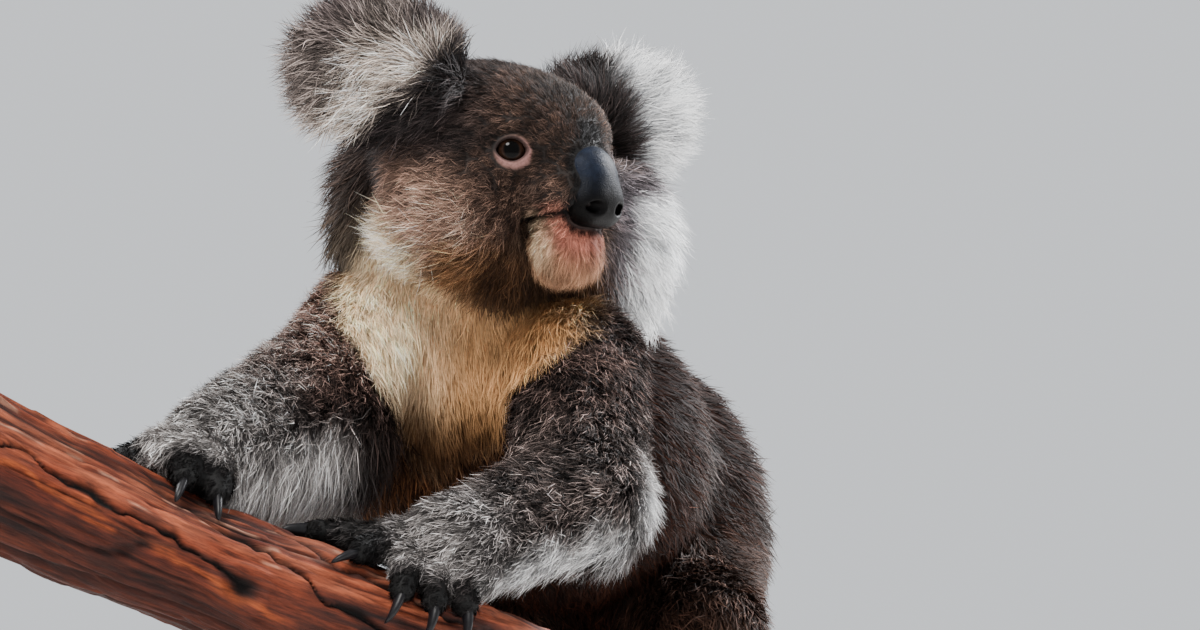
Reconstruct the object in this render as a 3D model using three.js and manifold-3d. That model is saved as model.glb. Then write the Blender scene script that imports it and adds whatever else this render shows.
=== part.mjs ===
// A young koala crouching on a cut length of branch, as a life-size still model on a plain display stand.
// Millimetres, +Z up. The animal's chest faces -Y, and its head is turned to its own left, towards +X
// and -Y. The solids follow the outside of the coat. The body is one smooth field of rounded forms, which
// is meshed and then parted with thin cuts, so that each part of the animal is a solid of its own.
import * as THREE from "three";
import { mergeVertices } from "three/addons/utils/BufferGeometryUtils.js";
import Module from "manifold-3d";

const wasm = await Module();
wasm.setup();

const vec = (x, y, z) => new THREE.Vector3(x, y, z);

// ---------------------------------------------------------------- driving sizes

const originShift = vec(55, -45, 318); // from the modelling frame to the middle of the stand's underside
const cutWidth = 1; // width of the thin cuts between the parts of the animal
const roomGap = 1.5; // clearance round a part whose neighbour is hollowed for it
const restGap = 0.4; // clearance where one piece rests on another
const sliver = 0.2; // thinnest facet that a cut may leave

const cell = { head: 16, ear: 10.8, nose: 8, body: 24, paw: 9.5 }; // mesh steps
const meshLoss = 1; // how far the coarse body mesh would fall short of its field

const head = {
  centre: vec(-41, 0, 60),
  yaw: 50, // turn of the face from straight ahead, towards the animal's left
  pitch: 6, // the face is lifted a little
  roll: 4,
};

const eye = { radius: 8.2, forward: 26.2, side: 26.4, up: 4.4 };

const perch = { radius: 28, sides: 12, steps: 14 };

const stand = {
  width: 320,
  depth: 340,
  thickness: 18,
  cornerRadius: 40,
  bevel: 2.5,
  topLevel: -300, // height of the board's upper face in the modelling frame
  rodRadius: 7,
  collarRadius: 17,
  collarHeight: 8,
  rodDepthInPerch: 14,
  rodDepthInBoard: 10,
  rods: { front: 196, back: 524 }, // how far along the branch each rod stands
};

// ---------------------------------------------------------------- fields

// Signed distance to an ellipsoid with the given centre and radii, turned by tilt degrees about the Y axis.
function ellipsoid(centre, radii, tilt = 0) {
  const c = Math.cos(THREE.MathUtils.degToRad(tilt));
  const s = Math.sin(THREE.MathUtils.degToRad(tilt));
  return (x, y, z) => {
    const dx = x - centre.x;
    const dy = y - centre.y;
    const dz = z - centre.z;
    const ex = c * dx - s * dz;
    const ez = s * dx + c * dz;
    const k0 = Math.hypot(ex / radii.x, dy / radii.y, ez / radii.z);
    const k1 = Math.hypot(ex / radii.x ** 2, dy / radii.y ** 2, ez / radii.z ** 2);
    return k1 < 1e-9 ? -Math.min(radii.x, radii.y, radii.z) : (k0 * (k0 - 1)) / k1;
  };
}

// Signed distance to two balls, of radius ra at a and rb at b, and the cone that wraps them.
function limb(a, b, ra, rb) {
  const ba = vec(0, 0, 0).subVectors(b, a);
  const l2 = ba.lengthSq();
  const rr = ra - rb;
  const a2 = l2 - rr * rr;
  return (x, y, z) => {
    const px = x - a.x;
    const py = y - a.y;
    const pz = z - a.z;
    const along = px * ba.x + py * ba.y + pz * ba.z;
    const past = along - l2;
    const qx = px * l2 - ba.x * along;
    const qy = py * l2 - ba.y * along;
    const qz = pz * l2 - ba.z * along;
    const x2 = qx * qx + qy * qy + qz * qz;
    const y2 = along * along * l2;
    const z2 = past * past * l2;
    const k = Math.sign(rr) * rr * rr * x2;
    if (Math.sign(past) * a2 * z2 > k) return Math.sqrt(x2 + z2) / l2 - rb;
    if (Math.sign(along) * a2 * y2 < k) return Math.sqrt(x2 + y2) / l2 - ra;
    return (Math.sqrt((x2 * a2) / l2) + along * rr) / l2 - ra;
  };
}

// Joins fields with a fillet of about the given size.
function blend(size, fields) {
  return (x, y, z) => {
    let d = fields[0](x, y, z);
    for (let i = 1; i < fields.length; i++) {
      const e = fields[i](x, y, z);
      const h = Math.max(size - Math.abs(d - e), 0) / size;
      d = Math.min(d, e) - (h * h * size) / 4;
    }
    return d;
  };
}

// Presses the second field into the first with a soft edge.
const pressed = (size, field, tool) => {
  const joined = blend(size, [(x, y, z) => -field(x, y, z), tool]);
  return (x, y, z) => -joined(x, y, z);
};

const swollen = (field, by) => (x, y, z) => field(x, y, z) - by;

// ---------------------------------------------------------------- meshing and cutting

// A cell's corners are numbered by their bits, x first. Each edge is its lower corner and its axis, and
// each face is its four edges.
const cellEdges = [0, 1, 2, 3, 4, 5, 6, 7].flatMap((corner) =>
  [0, 1, 2].filter((axis) => !(corner & (1 << axis))).map((axis) => [corner, axis]));
const cellFaces = [0, 1, 2].flatMap((normal) => [0, 1].map((side) =>
  cellEdges.flatMap(([corner, axis], e) =>
    (axis !== normal && ((corner >> normal) & 1) === side ? [e] : []))));

// The crossed edges of a cell in groups, one for each sheet of the surface that passes through it. Where a
// face has four crossings, the two beside each inner corner belong together.
function sheets(corner) {
  const crossed = cellEdges.map(([c, axis]) => corner[c] < 0 !== corner[c | (1 << axis)] < 0);
  let group = cellEdges.map((_, e) => e);
  const join = (a, b) => {
    group = group.map((g) => (g === group[b] ? group[a] : g));
  };
  for (const face of cellFaces) {
    const cut = face.filter((e) => crossed[e]);
    if (cut.length === 2) join(cut[0], cut[1]);
    if (cut.length < 4) continue;
    for (const inner of [0, 1, 2, 3, 4, 5, 6, 7].filter((c) => corner[c] < 0)) {
      const ends = (e) => [cellEdges[e][0], cellEdges[e][0] | (1 << cellEdges[e][1])];
      const beside = cut.filter((e) => ends(e).includes(inner));
      if (beside.length === 2) join(beside[0], beside[1]);
    }
  }
  return { crossed, group };
}

// The closed surface where a field is zero, inside the box lo..hi, as a solid. Each sheet of the surface
// in a grid cell gets one vertex, drawn onto the surface along the field's slope. Now and then two sheets
// still share an edge, and the grid is moved a little and tried again.
function solidOfField(field, lo, hi, step, tries = 6) {
  const n = ["x", "y", "z"].map((a) => Math.ceil((hi[a] - lo[a]) / step) + 1);
  const at = (i, j, k) => (k * n[1] + j) * n[0] + i;
  const place = (i, j, k) => vec(lo.x + i * step, lo.y + j * step, lo.z + k * step);
  const value = new Float64Array(n[0] * n[1] * n[2]);
  for (let k = 0; k < n[2]; k++)
    for (let j = 0; j < n[1]; j++)
      for (let i = 0; i < n[0]; i++) {
        const p = place(i, j, k);
        const edge = i * j * k === 0 || i === n[0] - 1 || j === n[1] - 1 || k === n[2] - 1;
        const d = field(p.x, p.y, p.z) || 1e-6;
        value[at(i, j, k)] = edge ? Math.max(d, step / 10) : d;
      }

  const vertices = [];
  const vertexOf = new Map();
  const cornerAt = (i, j, k, c) => [i + (c & 1), j + ((c >> 1) & 1), k + (c >> 2)];
  for (let k = 0; k < n[2] - 1; k++)
    for (let j = 0; j < n[1] - 1; j++)
      for (let i = 0; i < n[0] - 1; i++) {
        const corner = [0, 1, 2, 3, 4, 5, 6, 7].map((c) => value[at(...cornerAt(i, j, k, c))]);
        if (corner.every((v) => v < 0) || corner.every((v) => v > 0)) continue;
        const { crossed, group } = sheets(corner);
        const crossing = ([c, axis]) => {
          const d = c | (1 << axis);
          return place(...cornerAt(i, j, k, c))
            .lerp(place(...cornerAt(i, j, k, d)), corner[c] / (corner[c] - corner[d]));
        };
        for (const g of new Set(group.filter((_, e) => crossed[e]))) {
          const mine = cellEdges.map((_, e) => e).filter((e) => crossed[e] && group[e] === g);
          const p = vec(0, 0, 0);
          mine.forEach((e) => p.addScaledVector(crossing(cellEdges[e]), 1 / mine.length));
          settle(field, p, step);
          mine.forEach((e) => vertexOf.set(at(i, j, k) * 12 + e, vertices.length / 3));
          vertices.push(p.x, p.y, p.z);
        }
      }

  const triangles = [];
  const edgeNumber = (corner, axis) => cellEdges.findIndex(([c, a]) => c === corner && a === axis);
  const unit = [[1, 0, 0], [0, 1, 0], [0, 0, 1]];
  for (let k = 0; k < n[2] - 1; k++)
    for (let j = 0; j < n[1] - 1; j++)
      for (let i = 0; i < n[0] - 1; i++)
        unit.forEach((u, axis) => {
          const inside = value[at(i, j, k)] < 0;
          if (inside === value[at(i + u[0], j + u[1], k + u[2])] < 0) return;
          const [nb, nc] = [(axis + 1) % 3, (axis + 2) % 3];
          const [b, c] = [unit[nb], unit[nc]];
          const quad = [[0, 0], [1, 0], [1, 1], [0, 1]].map(([p, q]) => vertexOf.get(
            at(i - p * b[0] - q * c[0], j - p * b[1] - q * c[1], k - p * b[2] - q * c[2]) * 12
            + edgeNumber((p << nb) | (q << nc), axis)));
          const turned = inside ? [0, 1, 2, 0, 2, 3] : [0, 2, 1, 0, 3, 2];
          triangles.push(...turned.map((q) => quad[q]));
        });
  try {
    return new wasm.Manifold(new wasm.Mesh({
      numProp: 3,
      vertProperties: new Float32Array(vertices),
      triVerts: new Uint32Array(triangles),
    }));
  } catch (refusal) {
    if (!tries) throw refusal;
    return solidOfField(field, lo.clone().addScalar(-0.37 * step), hi, step, tries - 1);
  }
}

// Moves a point onto the field's zero surface, by no more than half a step.
function settle(field, p, step) {
  const start = p.clone();
  const h = 0.2;
  for (let turn = 0; turn < 3; turn++) {
    const d = field(p.x, p.y, p.z);
    const slope = vec(
      field(p.x + h, p.y, p.z) - d,
      field(p.x, p.y + h, p.z) - d,
      field(p.x, p.y, p.z + h) - d,
    ).divideScalar(h);
    p.addScaledVector(slope, -d / Math.max(slope.lengthSq(), 0.2));
  }
  if (p.distanceTo(start) > step / 2) p.copy(start);
}

function geometryOfSolid(solid) {
  const mesh = solid.getMesh();
  const geometry = new THREE.BufferGeometry();
  const points = new Float32Array(mesh.numVert * 3);
  for (let i = 0; i < mesh.numVert; i++)
    points.set(mesh.vertProperties.subarray(i * mesh.numProp, i * mesh.numProp + 3), i * 3);
  geometry.setAttribute("position", new THREE.BufferAttribute(points, 3));
  geometry.setIndex(new THREE.BufferAttribute(mesh.triVerts, 1));
  geometry.computeVertexNormals();
  return geometry;
}

function solidOfGeometry(geometry) {
  const bare = geometry.clone();
  bare.deleteAttribute("normal");
  bare.deleteAttribute("uv");
  const merged = mergeVertices(bare, 1e-4);
  return new wasm.Manifold(new wasm.Mesh({
    numProp: 3,
    vertProperties: new Float32Array(merged.attributes.position.array),
    triVerts: new Uint32Array(merged.index.array),
  }));
}

// The same solid with every vertex moved out along its normal, or in where the distance is negative.
function grown(solid, by) {
  const geometry = geometryOfSolid(solid);
  const place = geometry.attributes.position;
  const normal = geometry.attributes.normal;
  const [p, n] = [vec(0, 0, 0), vec(0, 0, 0)];
  for (let i = 0; i < place.count; i++) {
    p.fromBufferAttribute(place, i).addScaledVector(n.fromBufferAttribute(normal, i), by);
    place.setXYZ(i, p.x, p.y, p.z);
  }
  return solidOfGeometry(geometry);
}

// The largest separate piece, without the crumbs that a cut leaves.
function largest(solid) {
  return solid.decompose().reduce((a, b) => (b.volume() > a.volume() ? b : a));
}

// ---------------------------------------------------------------- the branch

const perchLine = new THREE.CatmullRomCurve3([
  vec(-296, -150, -46),
  vec(-250, -137, -65),
  vec(-171, -118, -102),
  vec(-84, -90, -138),
  vec(-42, -50, -155),
  vec(-14, 12, -170),
  vec(4, 90, -186),
  vec(12, 170, -207),
  vec(15, 292, -240),
]);
const perchLength = perchLine.getLength();

// The branch swells towards its thick end, and its girth wanders a little along its length.
function perchRadius(s) {
  const swell = 7 * Math.exp(-(((s + 10) / 55) ** 2));
  return perch.radius + swell + 1.2 * Math.sin(s / 31) + 0.8 * Math.sin(s / 13);
}

// A point near the branch: s along it, an angle round it from the top towards the animal's left and the
// front, and the height above the bark.
function onPerch(s, angle, lift) {
  const u = THREE.MathUtils.clamp(s / perchLength, 0, 1);
  const along = perchLine.getTangentAt(u);
  const up = vec(0, 0, 1).addScaledVector(along, -along.z).normalize();
  const side = vec(0, 0, 0).crossVectors(along, up);
  const a = THREE.MathUtils.degToRad(angle);
  return perchLine.getPointAt(u)
    .addScaledVector(up, Math.cos(a) * (perchRadius(s) + lift))
    .addScaledVector(side, Math.sin(a) * (perchRadius(s) + lift));
}

// A closed skin over rings of points, with a flat or pointed middle point at each end.
function loft(rings, first, last) {
  const sides = rings[0].length;
  const points = [...rings.flat(), first, last];
  const index = [];
  for (let r = 0; r + 1 < rings.length; r++)
    for (let i = 0; i < sides; i++) {
      const a = r * sides + i;
      const b = r * sides + ((i + 1) % sides);
      index.push(a, b, b + sides, a, b + sides, a + sides);
    }
  for (let i = 0; i < sides; i++) {
    const j = (i + 1) % sides;
    const end = (rings.length - 1) * sides;
    index.push(rings.length * sides, j, i, rings.length * sides + 1, end + i, end + j);
  }
  const made = new THREE.BufferGeometry().setFromPoints(points);
  made.setIndex(index);
  return made;
}

// The bark's long ridges run round the branch slowly, as twisted grain does.
function perchGeometry(extra = 0) {
  const ridge = (turn, s) => 0.9 * Math.sin(5 * turn + s / 60) + 0.6 * Math.sin(3 * turn - s / 45);
  const rings = Array.from({ length: perch.steps + 1 }, (_, r) => {
    const s = (perchLength * r) / perch.steps;
    return Array.from({ length: perch.sides }, (_, i) => {
      const turn = (2 * Math.PI * i) / perch.sides;
      return onPerch(s, THREE.MathUtils.radToDeg(turn), ridge(turn, s) + extra);
    });
  });
  return loft(rings, perchLine.getPointAt(0), perchLine.getPointAt(1));
}

// ---------------------------------------------------------------- the head

const headFrame = new THREE.Matrix4();
{
  const [yaw, pitch, roll] = [head.yaw, head.pitch, head.roll].map(THREE.MathUtils.degToRad);
  const forward = vec(Math.sin(yaw) * Math.cos(pitch), -Math.cos(yaw) * Math.cos(pitch), Math.sin(pitch));
  const level = vec(Math.cos(yaw), Math.sin(yaw), 0);
  const upright = vec(0, 0, 0).crossVectors(forward, level);
  const left = level.clone().multiplyScalar(Math.cos(roll)).addScaledVector(upright, -Math.sin(roll));
  const up = vec(0, 0, 0).crossVectors(forward, left);
  headFrame.makeBasis(forward, left, up).setPosition(head.centre);
}
const fromHead = headFrame.clone().invert();

// In the head's own frame +X is forward, +Y its left and +Z up.
function inHead(field) {
  const p = vec(0, 0, 0);
  return (x, y, z) => {
    p.set(x, y, z).applyMatrix4(fromHead);
    return field(p.x, p.y, p.z);
  };
}

const onHead = (x, y, z) => vec(x, y, z).applyMatrix4(headFrame);

const both = (make) => [-1, 1].map(make);

const skullField = pressed(7,
  blend(14, [
    ellipsoid(vec(-8, 0, 11), vec(48, 52, 40.5)),
    ellipsoid(vec(16, 0, 13), vec(33, 37, 27)),
    ...both((side) => ellipsoid(vec(-2, side * 30, -13), vec(38, 28, 33))),
    ellipsoid(vec(-16, 0, -24), vec(34, 42, 28)),
    ellipsoid(vec(36, 0, -6), vec(20, 19, 19)),
    ...both((side) => ellipsoid(vec(40, side * 8, -15), vec(14, 12, 10))),
    ellipsoid(vec(33, 0, -36), vec(17, 17, 14)),
  ]),
  blend(1, both((side) => ellipsoid(
    vec(eye.forward + 8, side * (eye.side + 8), eye.up), vec(8, 8, 8)))));

const noseField = blend(6, [
  ellipsoid(vec(49.5, 0, -10.5), vec(10.5, 12.5, 16.5), -8),
  ellipsoid(vec(46, 0, -3), vec(9.5, 12, 9)),
  ...both((side) => ellipsoid(vec(49, side * 6, -19), vec(9, 8.5, 9))),
]);

// Each ear is a round, shallow cup in long fur. "out" leads from its root to its tip, and "open" out of
// the cup.
const ears = {
  right: {
    root: onHead(-4, -42, 31), centre: onHead(-12, -62, 43), radii: vec(40, 33, 14),
    out: vec(-0.96, -0.18, 0.2), open: vec(-0.1, -1, 0.1),
  },
  left: {
    root: onHead(0, 44, 27), centre: onHead(5, 70, 29), radii: vec(38, 34, 14),
    out: vec(0.85, 0.5, 0.1), open: vec(0.45, -0.85, 0),
  },
};

function earField({ root, centre, radii, out, open }) {
  const across = out.clone().normalize();
  const facing = open.clone().addScaledVector(across, -open.dot(across)).normalize();
  const upright = vec(0, 0, 0).crossVectors(facing, across);
  const toEar = new THREE.Matrix4().makeBasis(across, upright, facing).setPosition(centre).invert();
  const p = vec(0, 0, 0);
  const cup = pressed(9,
    ellipsoid(vec(0, 0, 0), radii),
    ellipsoid(vec(2, 0, 16), vec(22, 18, 9)));
  return blend(12, [
    (x, y, z) => {
      p.set(x, y, z).applyMatrix4(toEar);
      return cup(p.x, p.y, p.z);
    },
    limb(root, root.clone().lerp(centre, 0.5), 20, 17),
  ]);
}

// ---------------------------------------------------------------- the body

const spine = {
  neck: vec(-50, 46, -6),
  chest: vec(-52, 38, -28),
  loin: vec(-20, 112, -62),
  rump: vec(0, 190, -97),
};

const arms = {
  right: {
    shoulder: vec(-98, 20, -8), elbow: vec(-122, -34, -40), wrist: vec(-162, -88, -55),
    radii: [37, 36, 25],
  },
  left: {
    shoulder: vec(-11, 2, -24), elbow: vec(-8, -46, -78), wrist: vec(-60, -88, -97),
    radii: [38, 33, 25],
  },
};

const legs = {
  right: {
    hip: vec(-32, 200, -112), knee: vec(-58, 122, -144), ankle: vec(-24, 200, -200),
    radii: [50, 32, 20],
  },
  left: {
    hip: vec(28, 192, -112), knee: vec(46, 114, -141), ankle: vec(48, 198, -202),
    radii: [50, 31, 20],
  },
};

const limbFields = ({ shoulder, elbow, wrist, hip, knee, ankle, radii }) => {
  const [top, middle, end] = shoulder ? [shoulder, elbow, wrist] : [hip, knee, ankle];
  return [limb(top, middle, radii[0], radii[1]), limb(middle, end, radii[1], radii[2])];
};

// Long fur stands round the neck as a ruff, wider than the cheeks.
const neckField = blend(20, [
  limb(spine.neck, onHead(-18, 0, -8), 50, 42),
  ellipsoid(vec(-40, 26, 38), vec(70, 38, 46)),
  ellipsoid(vec(-76, 26, 48), vec(41, 32, 48)),
  ellipsoid(vec(-6, 36, 30), vec(36, 30, 44)),
]);

const trunkField = blend(22, [
  neckField,
  ellipsoid(spine.chest, vec(62, 56, 60)),
  ellipsoid(spine.loin, vec(72, 74, 72)),
  limb(vec(-46, 66, -24), vec(-6, 180, -84), 56, 70),
  ellipsoid(spine.rump, vec(81, 70, 86)),
  ellipsoid(vec(-80, 52, -68), vec(58, 50, 36)),
]);

const bodyField = blend(12, [
  trunkField,
  ...Object.values(arms).flatMap(limbFields),
  ...Object.values(legs).flatMap(limbFields),
]);

// ---------------------------------------------------------------- hands and feet

// A paw lies on the branch round a station along it. Each digit goes from its root to its tip, both given
// as the distance along the branch from the station and the angle round it, in the order
// [root distance, tip distance, root angle, tip angle]. It bears a claw that ends at the bark.
const footDigits = (side) => [
  [4, 0, 40, 8],
  [-12, -36, 60, 62],
  [-14, -44, 72, 78],
  [-12, -46, 86, 95],
  [-6, -38, 98, 113],
].map(([s0, s1, a0, a1]) => [s0, s1, side * a0, side * a1]);
const paws = {
  hand_right: {
    station: 130, palm: [0, -10, 13], joint: arms.right.wrist, girth: 20, claws: [1, 2, 3, 4, 5],
    digits: [
      [8, 10, -4, 16],
      [-5, -6, -4, 18],
      [-16, -24, -12, -34],
      [-14, -34, -26, -48],
      [-4, -18, -34, -64],
    ],
  },
  hand_left: {
    station: 240, palm: [0, 4, 13], joint: arms.left.wrist, girth: 25, claws: [1, 2, 3, 4, 5],
    digits: [
      [-20, -50, -18, -20],
      [-17, -36, -2, 28],
      [-13, -18, 6, 54],
      [-4, -5, 8, 56],
      [6, 8, 8, 52],
    ],
  },
  foot_right: {
    station: 532, palm: [0, -62, 12], joint: legs.right.ankle, girth: 20, claws: [2, 3, 4, 5],
    digits: footDigits(-1),
  },
  foot_left: {
    station: 532, palm: [0, 62, 12], joint: legs.left.ankle, girth: 20, claws: [2, 3, 4, 5],
    digits: footDigits(1),
  },
};
const digit = { rootRadius: 7.5, tipRadius: 6.2, arch: 9, tipLift: 6 };
const claw = { length: 17, radius: 2.8, sides: 5, steps: 3, sink: 4, endLift: 1.6 };

const pawPoint = (paw, [s, angle, lift]) => onPerch(paw.station + s, angle, lift);

// The three points of a digit: its root in the palm, its raised knuckle and its tip.
function digitPoints(paw, [s0, s1, a0, a1]) {
  return [
    pawPoint(paw, [s0, a0, paw.palm[2]]),
    pawPoint(paw, [(s0 + s1) / 2, (a0 + a1) / 2, digit.arch]),
    pawPoint(paw, [s1, a1, digit.tipLift]),
  ];
}

// A palm with its web and its digits, each of which arches from its root over its knuckle to its tip.
function pawField(paw) {
  const palm = pawPoint(paw, paw.palm);
  const points = paw.digits.map((d) => digitPoints(paw, d));
  return blend(4, [
    blend(7, [
      limb(paw.joint, palm, paw.girth, 13),
      ...points.map(([root]) => limb(root, palm, digit.rootRadius, 12)),
    ]),
    ...points.map(([root, knuckle, tip]) => blend(3, [
      limb(root, knuckle, digit.rootRadius + 1, digit.rootRadius),
      limb(knuckle, tip, digit.rootRadius, digit.tipRadius),
    ])),
  ]);
}

// A round, tapering length along a flat curve, with the girth given as a function of how far along it is.
function taper(line, girth, sides, steps) {
  const level = vec(0, 0, 0).crossVectors(line.getTangent(0), line.getTangent(1)).normalize();
  const rings = Array.from({ length: steps }, (_, r) => {
    const t = r / steps;
    const rise = vec(0, 0, 0).crossVectors(line.getTangent(t), level);
    return Array.from({ length: sides }, (_, i) => {
      const a = (2 * Math.PI * i) / sides;
      return line.getPoint(t)
        .addScaledVector(level, girth(t) * Math.cos(a))
        .addScaledVector(rise, girth(t) * Math.sin(a));
    });
  });
  return loft(rings, line.getPoint(0), line.getPoint(1));
}

// A claw leaves the digit's tip along it and curves down to the bark.
function clawGeometry([, knuckle, tip], paw, [s0, s1, a0, a1], extra = 0) {
  const ahead = tip.clone().sub(knuckle).normalize();
  const travel = Math.hypot(s1 - s0, THREE.MathUtils.degToRad(a1 - a0) * perch.radius);
  const reach = (0.8 * claw.length) / travel;
  const end = onPerch(paw.station + s1 + reach * (s1 - s0), a1 + reach * (a1 - a0), claw.endLift);
  const line = new THREE.QuadraticBezierCurve3(
    tip.clone().addScaledVector(ahead, digit.tipRadius - claw.sink),
    tip.clone().addScaledVector(ahead, digit.tipRadius + 0.45 * claw.length).lerp(end, 0.15),
    end);
  return taper(line, (t) => claw.radius * Math.sqrt(1 - t) + extra, claw.sides, claw.steps);
}

// ---------------------------------------------------------------- the parts

const fur = { color: 0x6b625d, roughness: 0.95 };
const paleFur = { color: 0xb8a68f, roughness: 0.95 };
const horn = { color: 0x17151a, roughness: 0.45 };
const leather = { color: 0x2b2d33, roughness: 0.6 };
const glassy = { color: 0x1a0f0a, roughness: 0.08 };
const bark = { color: 0x9a5a41, roughness: 0.85 };
const board = { color: 0x4a3a2e, roughness: 0.5 };
const steel = { color: 0x8d9094, roughness: 0.35, metalness: 1 };

const model = new THREE.Group();
model.position.copy(originShift);

function addSolid(name, solid, look) {
  const geometry = geometryOfSolid(largest(solid.simplify(sliver)));
  const made = new THREE.Mesh(geometry, new THREE.MeshStandardMaterial(look));
  made.name = name;
  model.add(made);
}

const perchSolid = solidOfGeometry(perchGeometry());
const perchRoom = solidOfGeometry(perchGeometry(restGap));

// The part of a field's solid near a middle point.
function solidNear(field, middle, reach, step) {
  return solidOfField(field, middle.clone().addScalar(-reach), middle.clone().addScalar(reach), step);
}

// Head, nose, eyes and ears.
const headReach = 95;
const earReach = 60;
let headSolid = solidNear(inHead(skullField), head.centre, headReach, cell.head);
const headRoom = grown(headSolid, roomGap);
const noseSolid = solidNear(inHead(noseField), head.centre, headReach, cell.nose);
addSolid("nose", noseSolid, leather);
headSolid = headSolid.subtract(grown(noseSolid, restGap));
const rooms = [headRoom, grown(noseSolid, roomGap)];
for (const [side, sign] of [["left", 1], ["right", -1]]) {
  const ball = (radius, outward) => {
    const middle = onHead(eye.forward + 0.7 * outward, sign * (eye.side + 0.7 * outward), eye.up);
    const geometry = new THREE.IcosahedronGeometry(radius, 1);
    return solidOfGeometry(geometry.translate(middle.x, middle.y, middle.z));
  };
  addSolid("eye_" + side, ball(eye.radius, 0), glassy);
  headSolid = headSolid.subtract(ball(eye.radius + restGap, 0)).subtract(ball(eye.radius, eye.radius));
  const earSolid = solidNear(earField(ears[side]), ears[side].centre, earReach, cell.ear);
  addSolid("ear_" + side, earSolid.subtract(headRoom), fur);
  rooms.push(grown(earSolid, roomGap), ball(eye.radius + roomGap, 0));
}
addSolid("head", headSolid, fur);

// Hands and feet, with their claws.
const pawReach = 85;
for (const [name, paw] of Object.entries(paws)) {
  const [kind, side] = name.split("_");
  const points = paw.digits.map((d) => digitPoints(paw, d));
  let pawSolid = solidNear(pawField(paw), pawPoint(paw, paw.palm), pawReach, cell.paw);
  rooms.push(grown(pawSolid, roomGap));
  pawSolid = pawSolid.subtract(perchRoom);
  for (const number of paw.claws) {
    const bones = [points[number - 1], paw, paw.digits[number - 1]];
    const clawSolid = solidOfGeometry(clawGeometry(...bones));
    const clawRoom = solidOfGeometry(clawGeometry(...bones, restGap));
    addSolid(`${kind}_${side}_claw_${number}`, clawSolid.subtract(perchRoom), horn);
    pawSolid = pawSolid.subtract(clawRoom);
    rooms.push(clawRoom);
  }
  addSolid(name, pawSolid, fur);
}

// The body is parted by flat cuts. Each piece is what lies in a square bar, which starts "back" behind a
// point and runs on "past" a second point. The limbs are taken first and the trunk last.
function bar({ from, to, back, past, width }, margin) {
  const along = to.clone().sub(from);
  const length = along.length() + back + past;
  const box = new THREE.BoxGeometry(width + 2 * margin, width + 2 * margin, length + 2 * margin);
  box.translate(0, 0, length / 2 - back);
  box.applyQuaternion(new THREE.Quaternion().setFromUnitVectors(vec(0, 0, 1), along.normalize()));
  box.translate(from.x, from.y, from.z);
  return solidOfGeometry(box);
}

// The leg bars are moved outwards and down from the bones, to leave the belly to the trunk.
const forearmBar = { back: 2, past: 60, width: 86 };
const upperArmBar = { back: 24, past: 60, width: 78 };
const shankBar = { back: 30, past: 60, width: 112 };
const thighBar = { back: 0, past: 70, width: 100 };
const shankOffset = vec(12, 0, -30);
const thighOffset = vec(26, 0, 0);

const bars = {};
for (const [side, sign] of [["left", 1], ["right", -1]]) {
  const { shoulder, elbow, wrist } = arms[side];
  const { hip, knee, ankle } = legs[side];
  const moved = (point, offset) => point.clone().add(vec(sign * offset.x, offset.y, offset.z));
  bars["forearm_" + side] = { from: elbow, to: wrist, ...forearmBar };
  bars["upper_arm_" + side] = { from: shoulder, to: elbow, ...upperArmBar };
  bars["shank_" + side] = { from: moved(knee, shankOffset), to: moved(ankle, shankOffset), ...shankBar };
  bars["thigh_" + side] = { from: moved(hip, thighOffset), to: moved(knee, thighOffset), ...thighBar };
}
const halfway = (a, b) => a.clone().lerp(b, 0.5);
const throughTrunk = { back: 0, past: 300, width: 400 };
bars.neck = { from: vec(-50, -10, 0), to: vec(-50, -13, 10), ...throughTrunk };
bars.rump = { from: halfway(spine.loin, spine.rump), to: spine.rump, ...throughTrunk };
bars.loin = { from: halfway(spine.chest, spine.loin), to: spine.loin, ...throughTrunk };

const bodyLow = vec(-200, -130, -260);
const bodyHigh = vec(110, 290, 110);
let bodySolid = solidOfField(swollen(bodyField, meshLoss), bodyLow, bodyHigh, cell.body);
[perchRoom, ...rooms].forEach((room) => {
  bodySolid = bodySolid.subtract(room);
});
for (const [name, piece] of Object.entries(bars)) {
  addSolid(name, bodySolid.intersect(bar(piece, -cutWidth / 2)), name === "neck" ? paleFur : fur);
  bodySolid = bodySolid.subtract(bar(piece, cutWidth / 2));
}
addSolid("chest", bodySolid, paleFur);

// The branch rests on two rods that stand in drilled sockets of it and of the board.
const { width, depth, thickness, cornerRadius: corner, bevel } = stand;
const [halfWidth, halfDepth] = [width / 2 - bevel, depth / 2 - bevel];
const outline = new THREE.Shape();
outline.absarc(halfWidth - corner, halfDepth - corner, corner, 0, Math.PI / 2);
outline.absarc(corner - halfWidth, halfDepth - corner, corner, Math.PI / 2, Math.PI);
outline.absarc(corner - halfWidth, corner - halfDepth, corner, Math.PI, 1.5 * Math.PI);
outline.absarc(halfWidth - corner, corner - halfDepth, corner, 1.5 * Math.PI, 2 * Math.PI);
const boardGeometry = new THREE.ExtrudeGeometry(outline, {
  depth: thickness - 2 * bevel,
  bevelThickness: bevel,
  bevelSize: bevel,
  bevelSegments: 1,
  curveSegments: 3,
});
boardGeometry.translate(-originShift.x, -originShift.y, stand.topLevel - thickness + bevel);
let boardSolid = solidOfGeometry(boardGeometry);
let drilledPerch = perchSolid;
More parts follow.
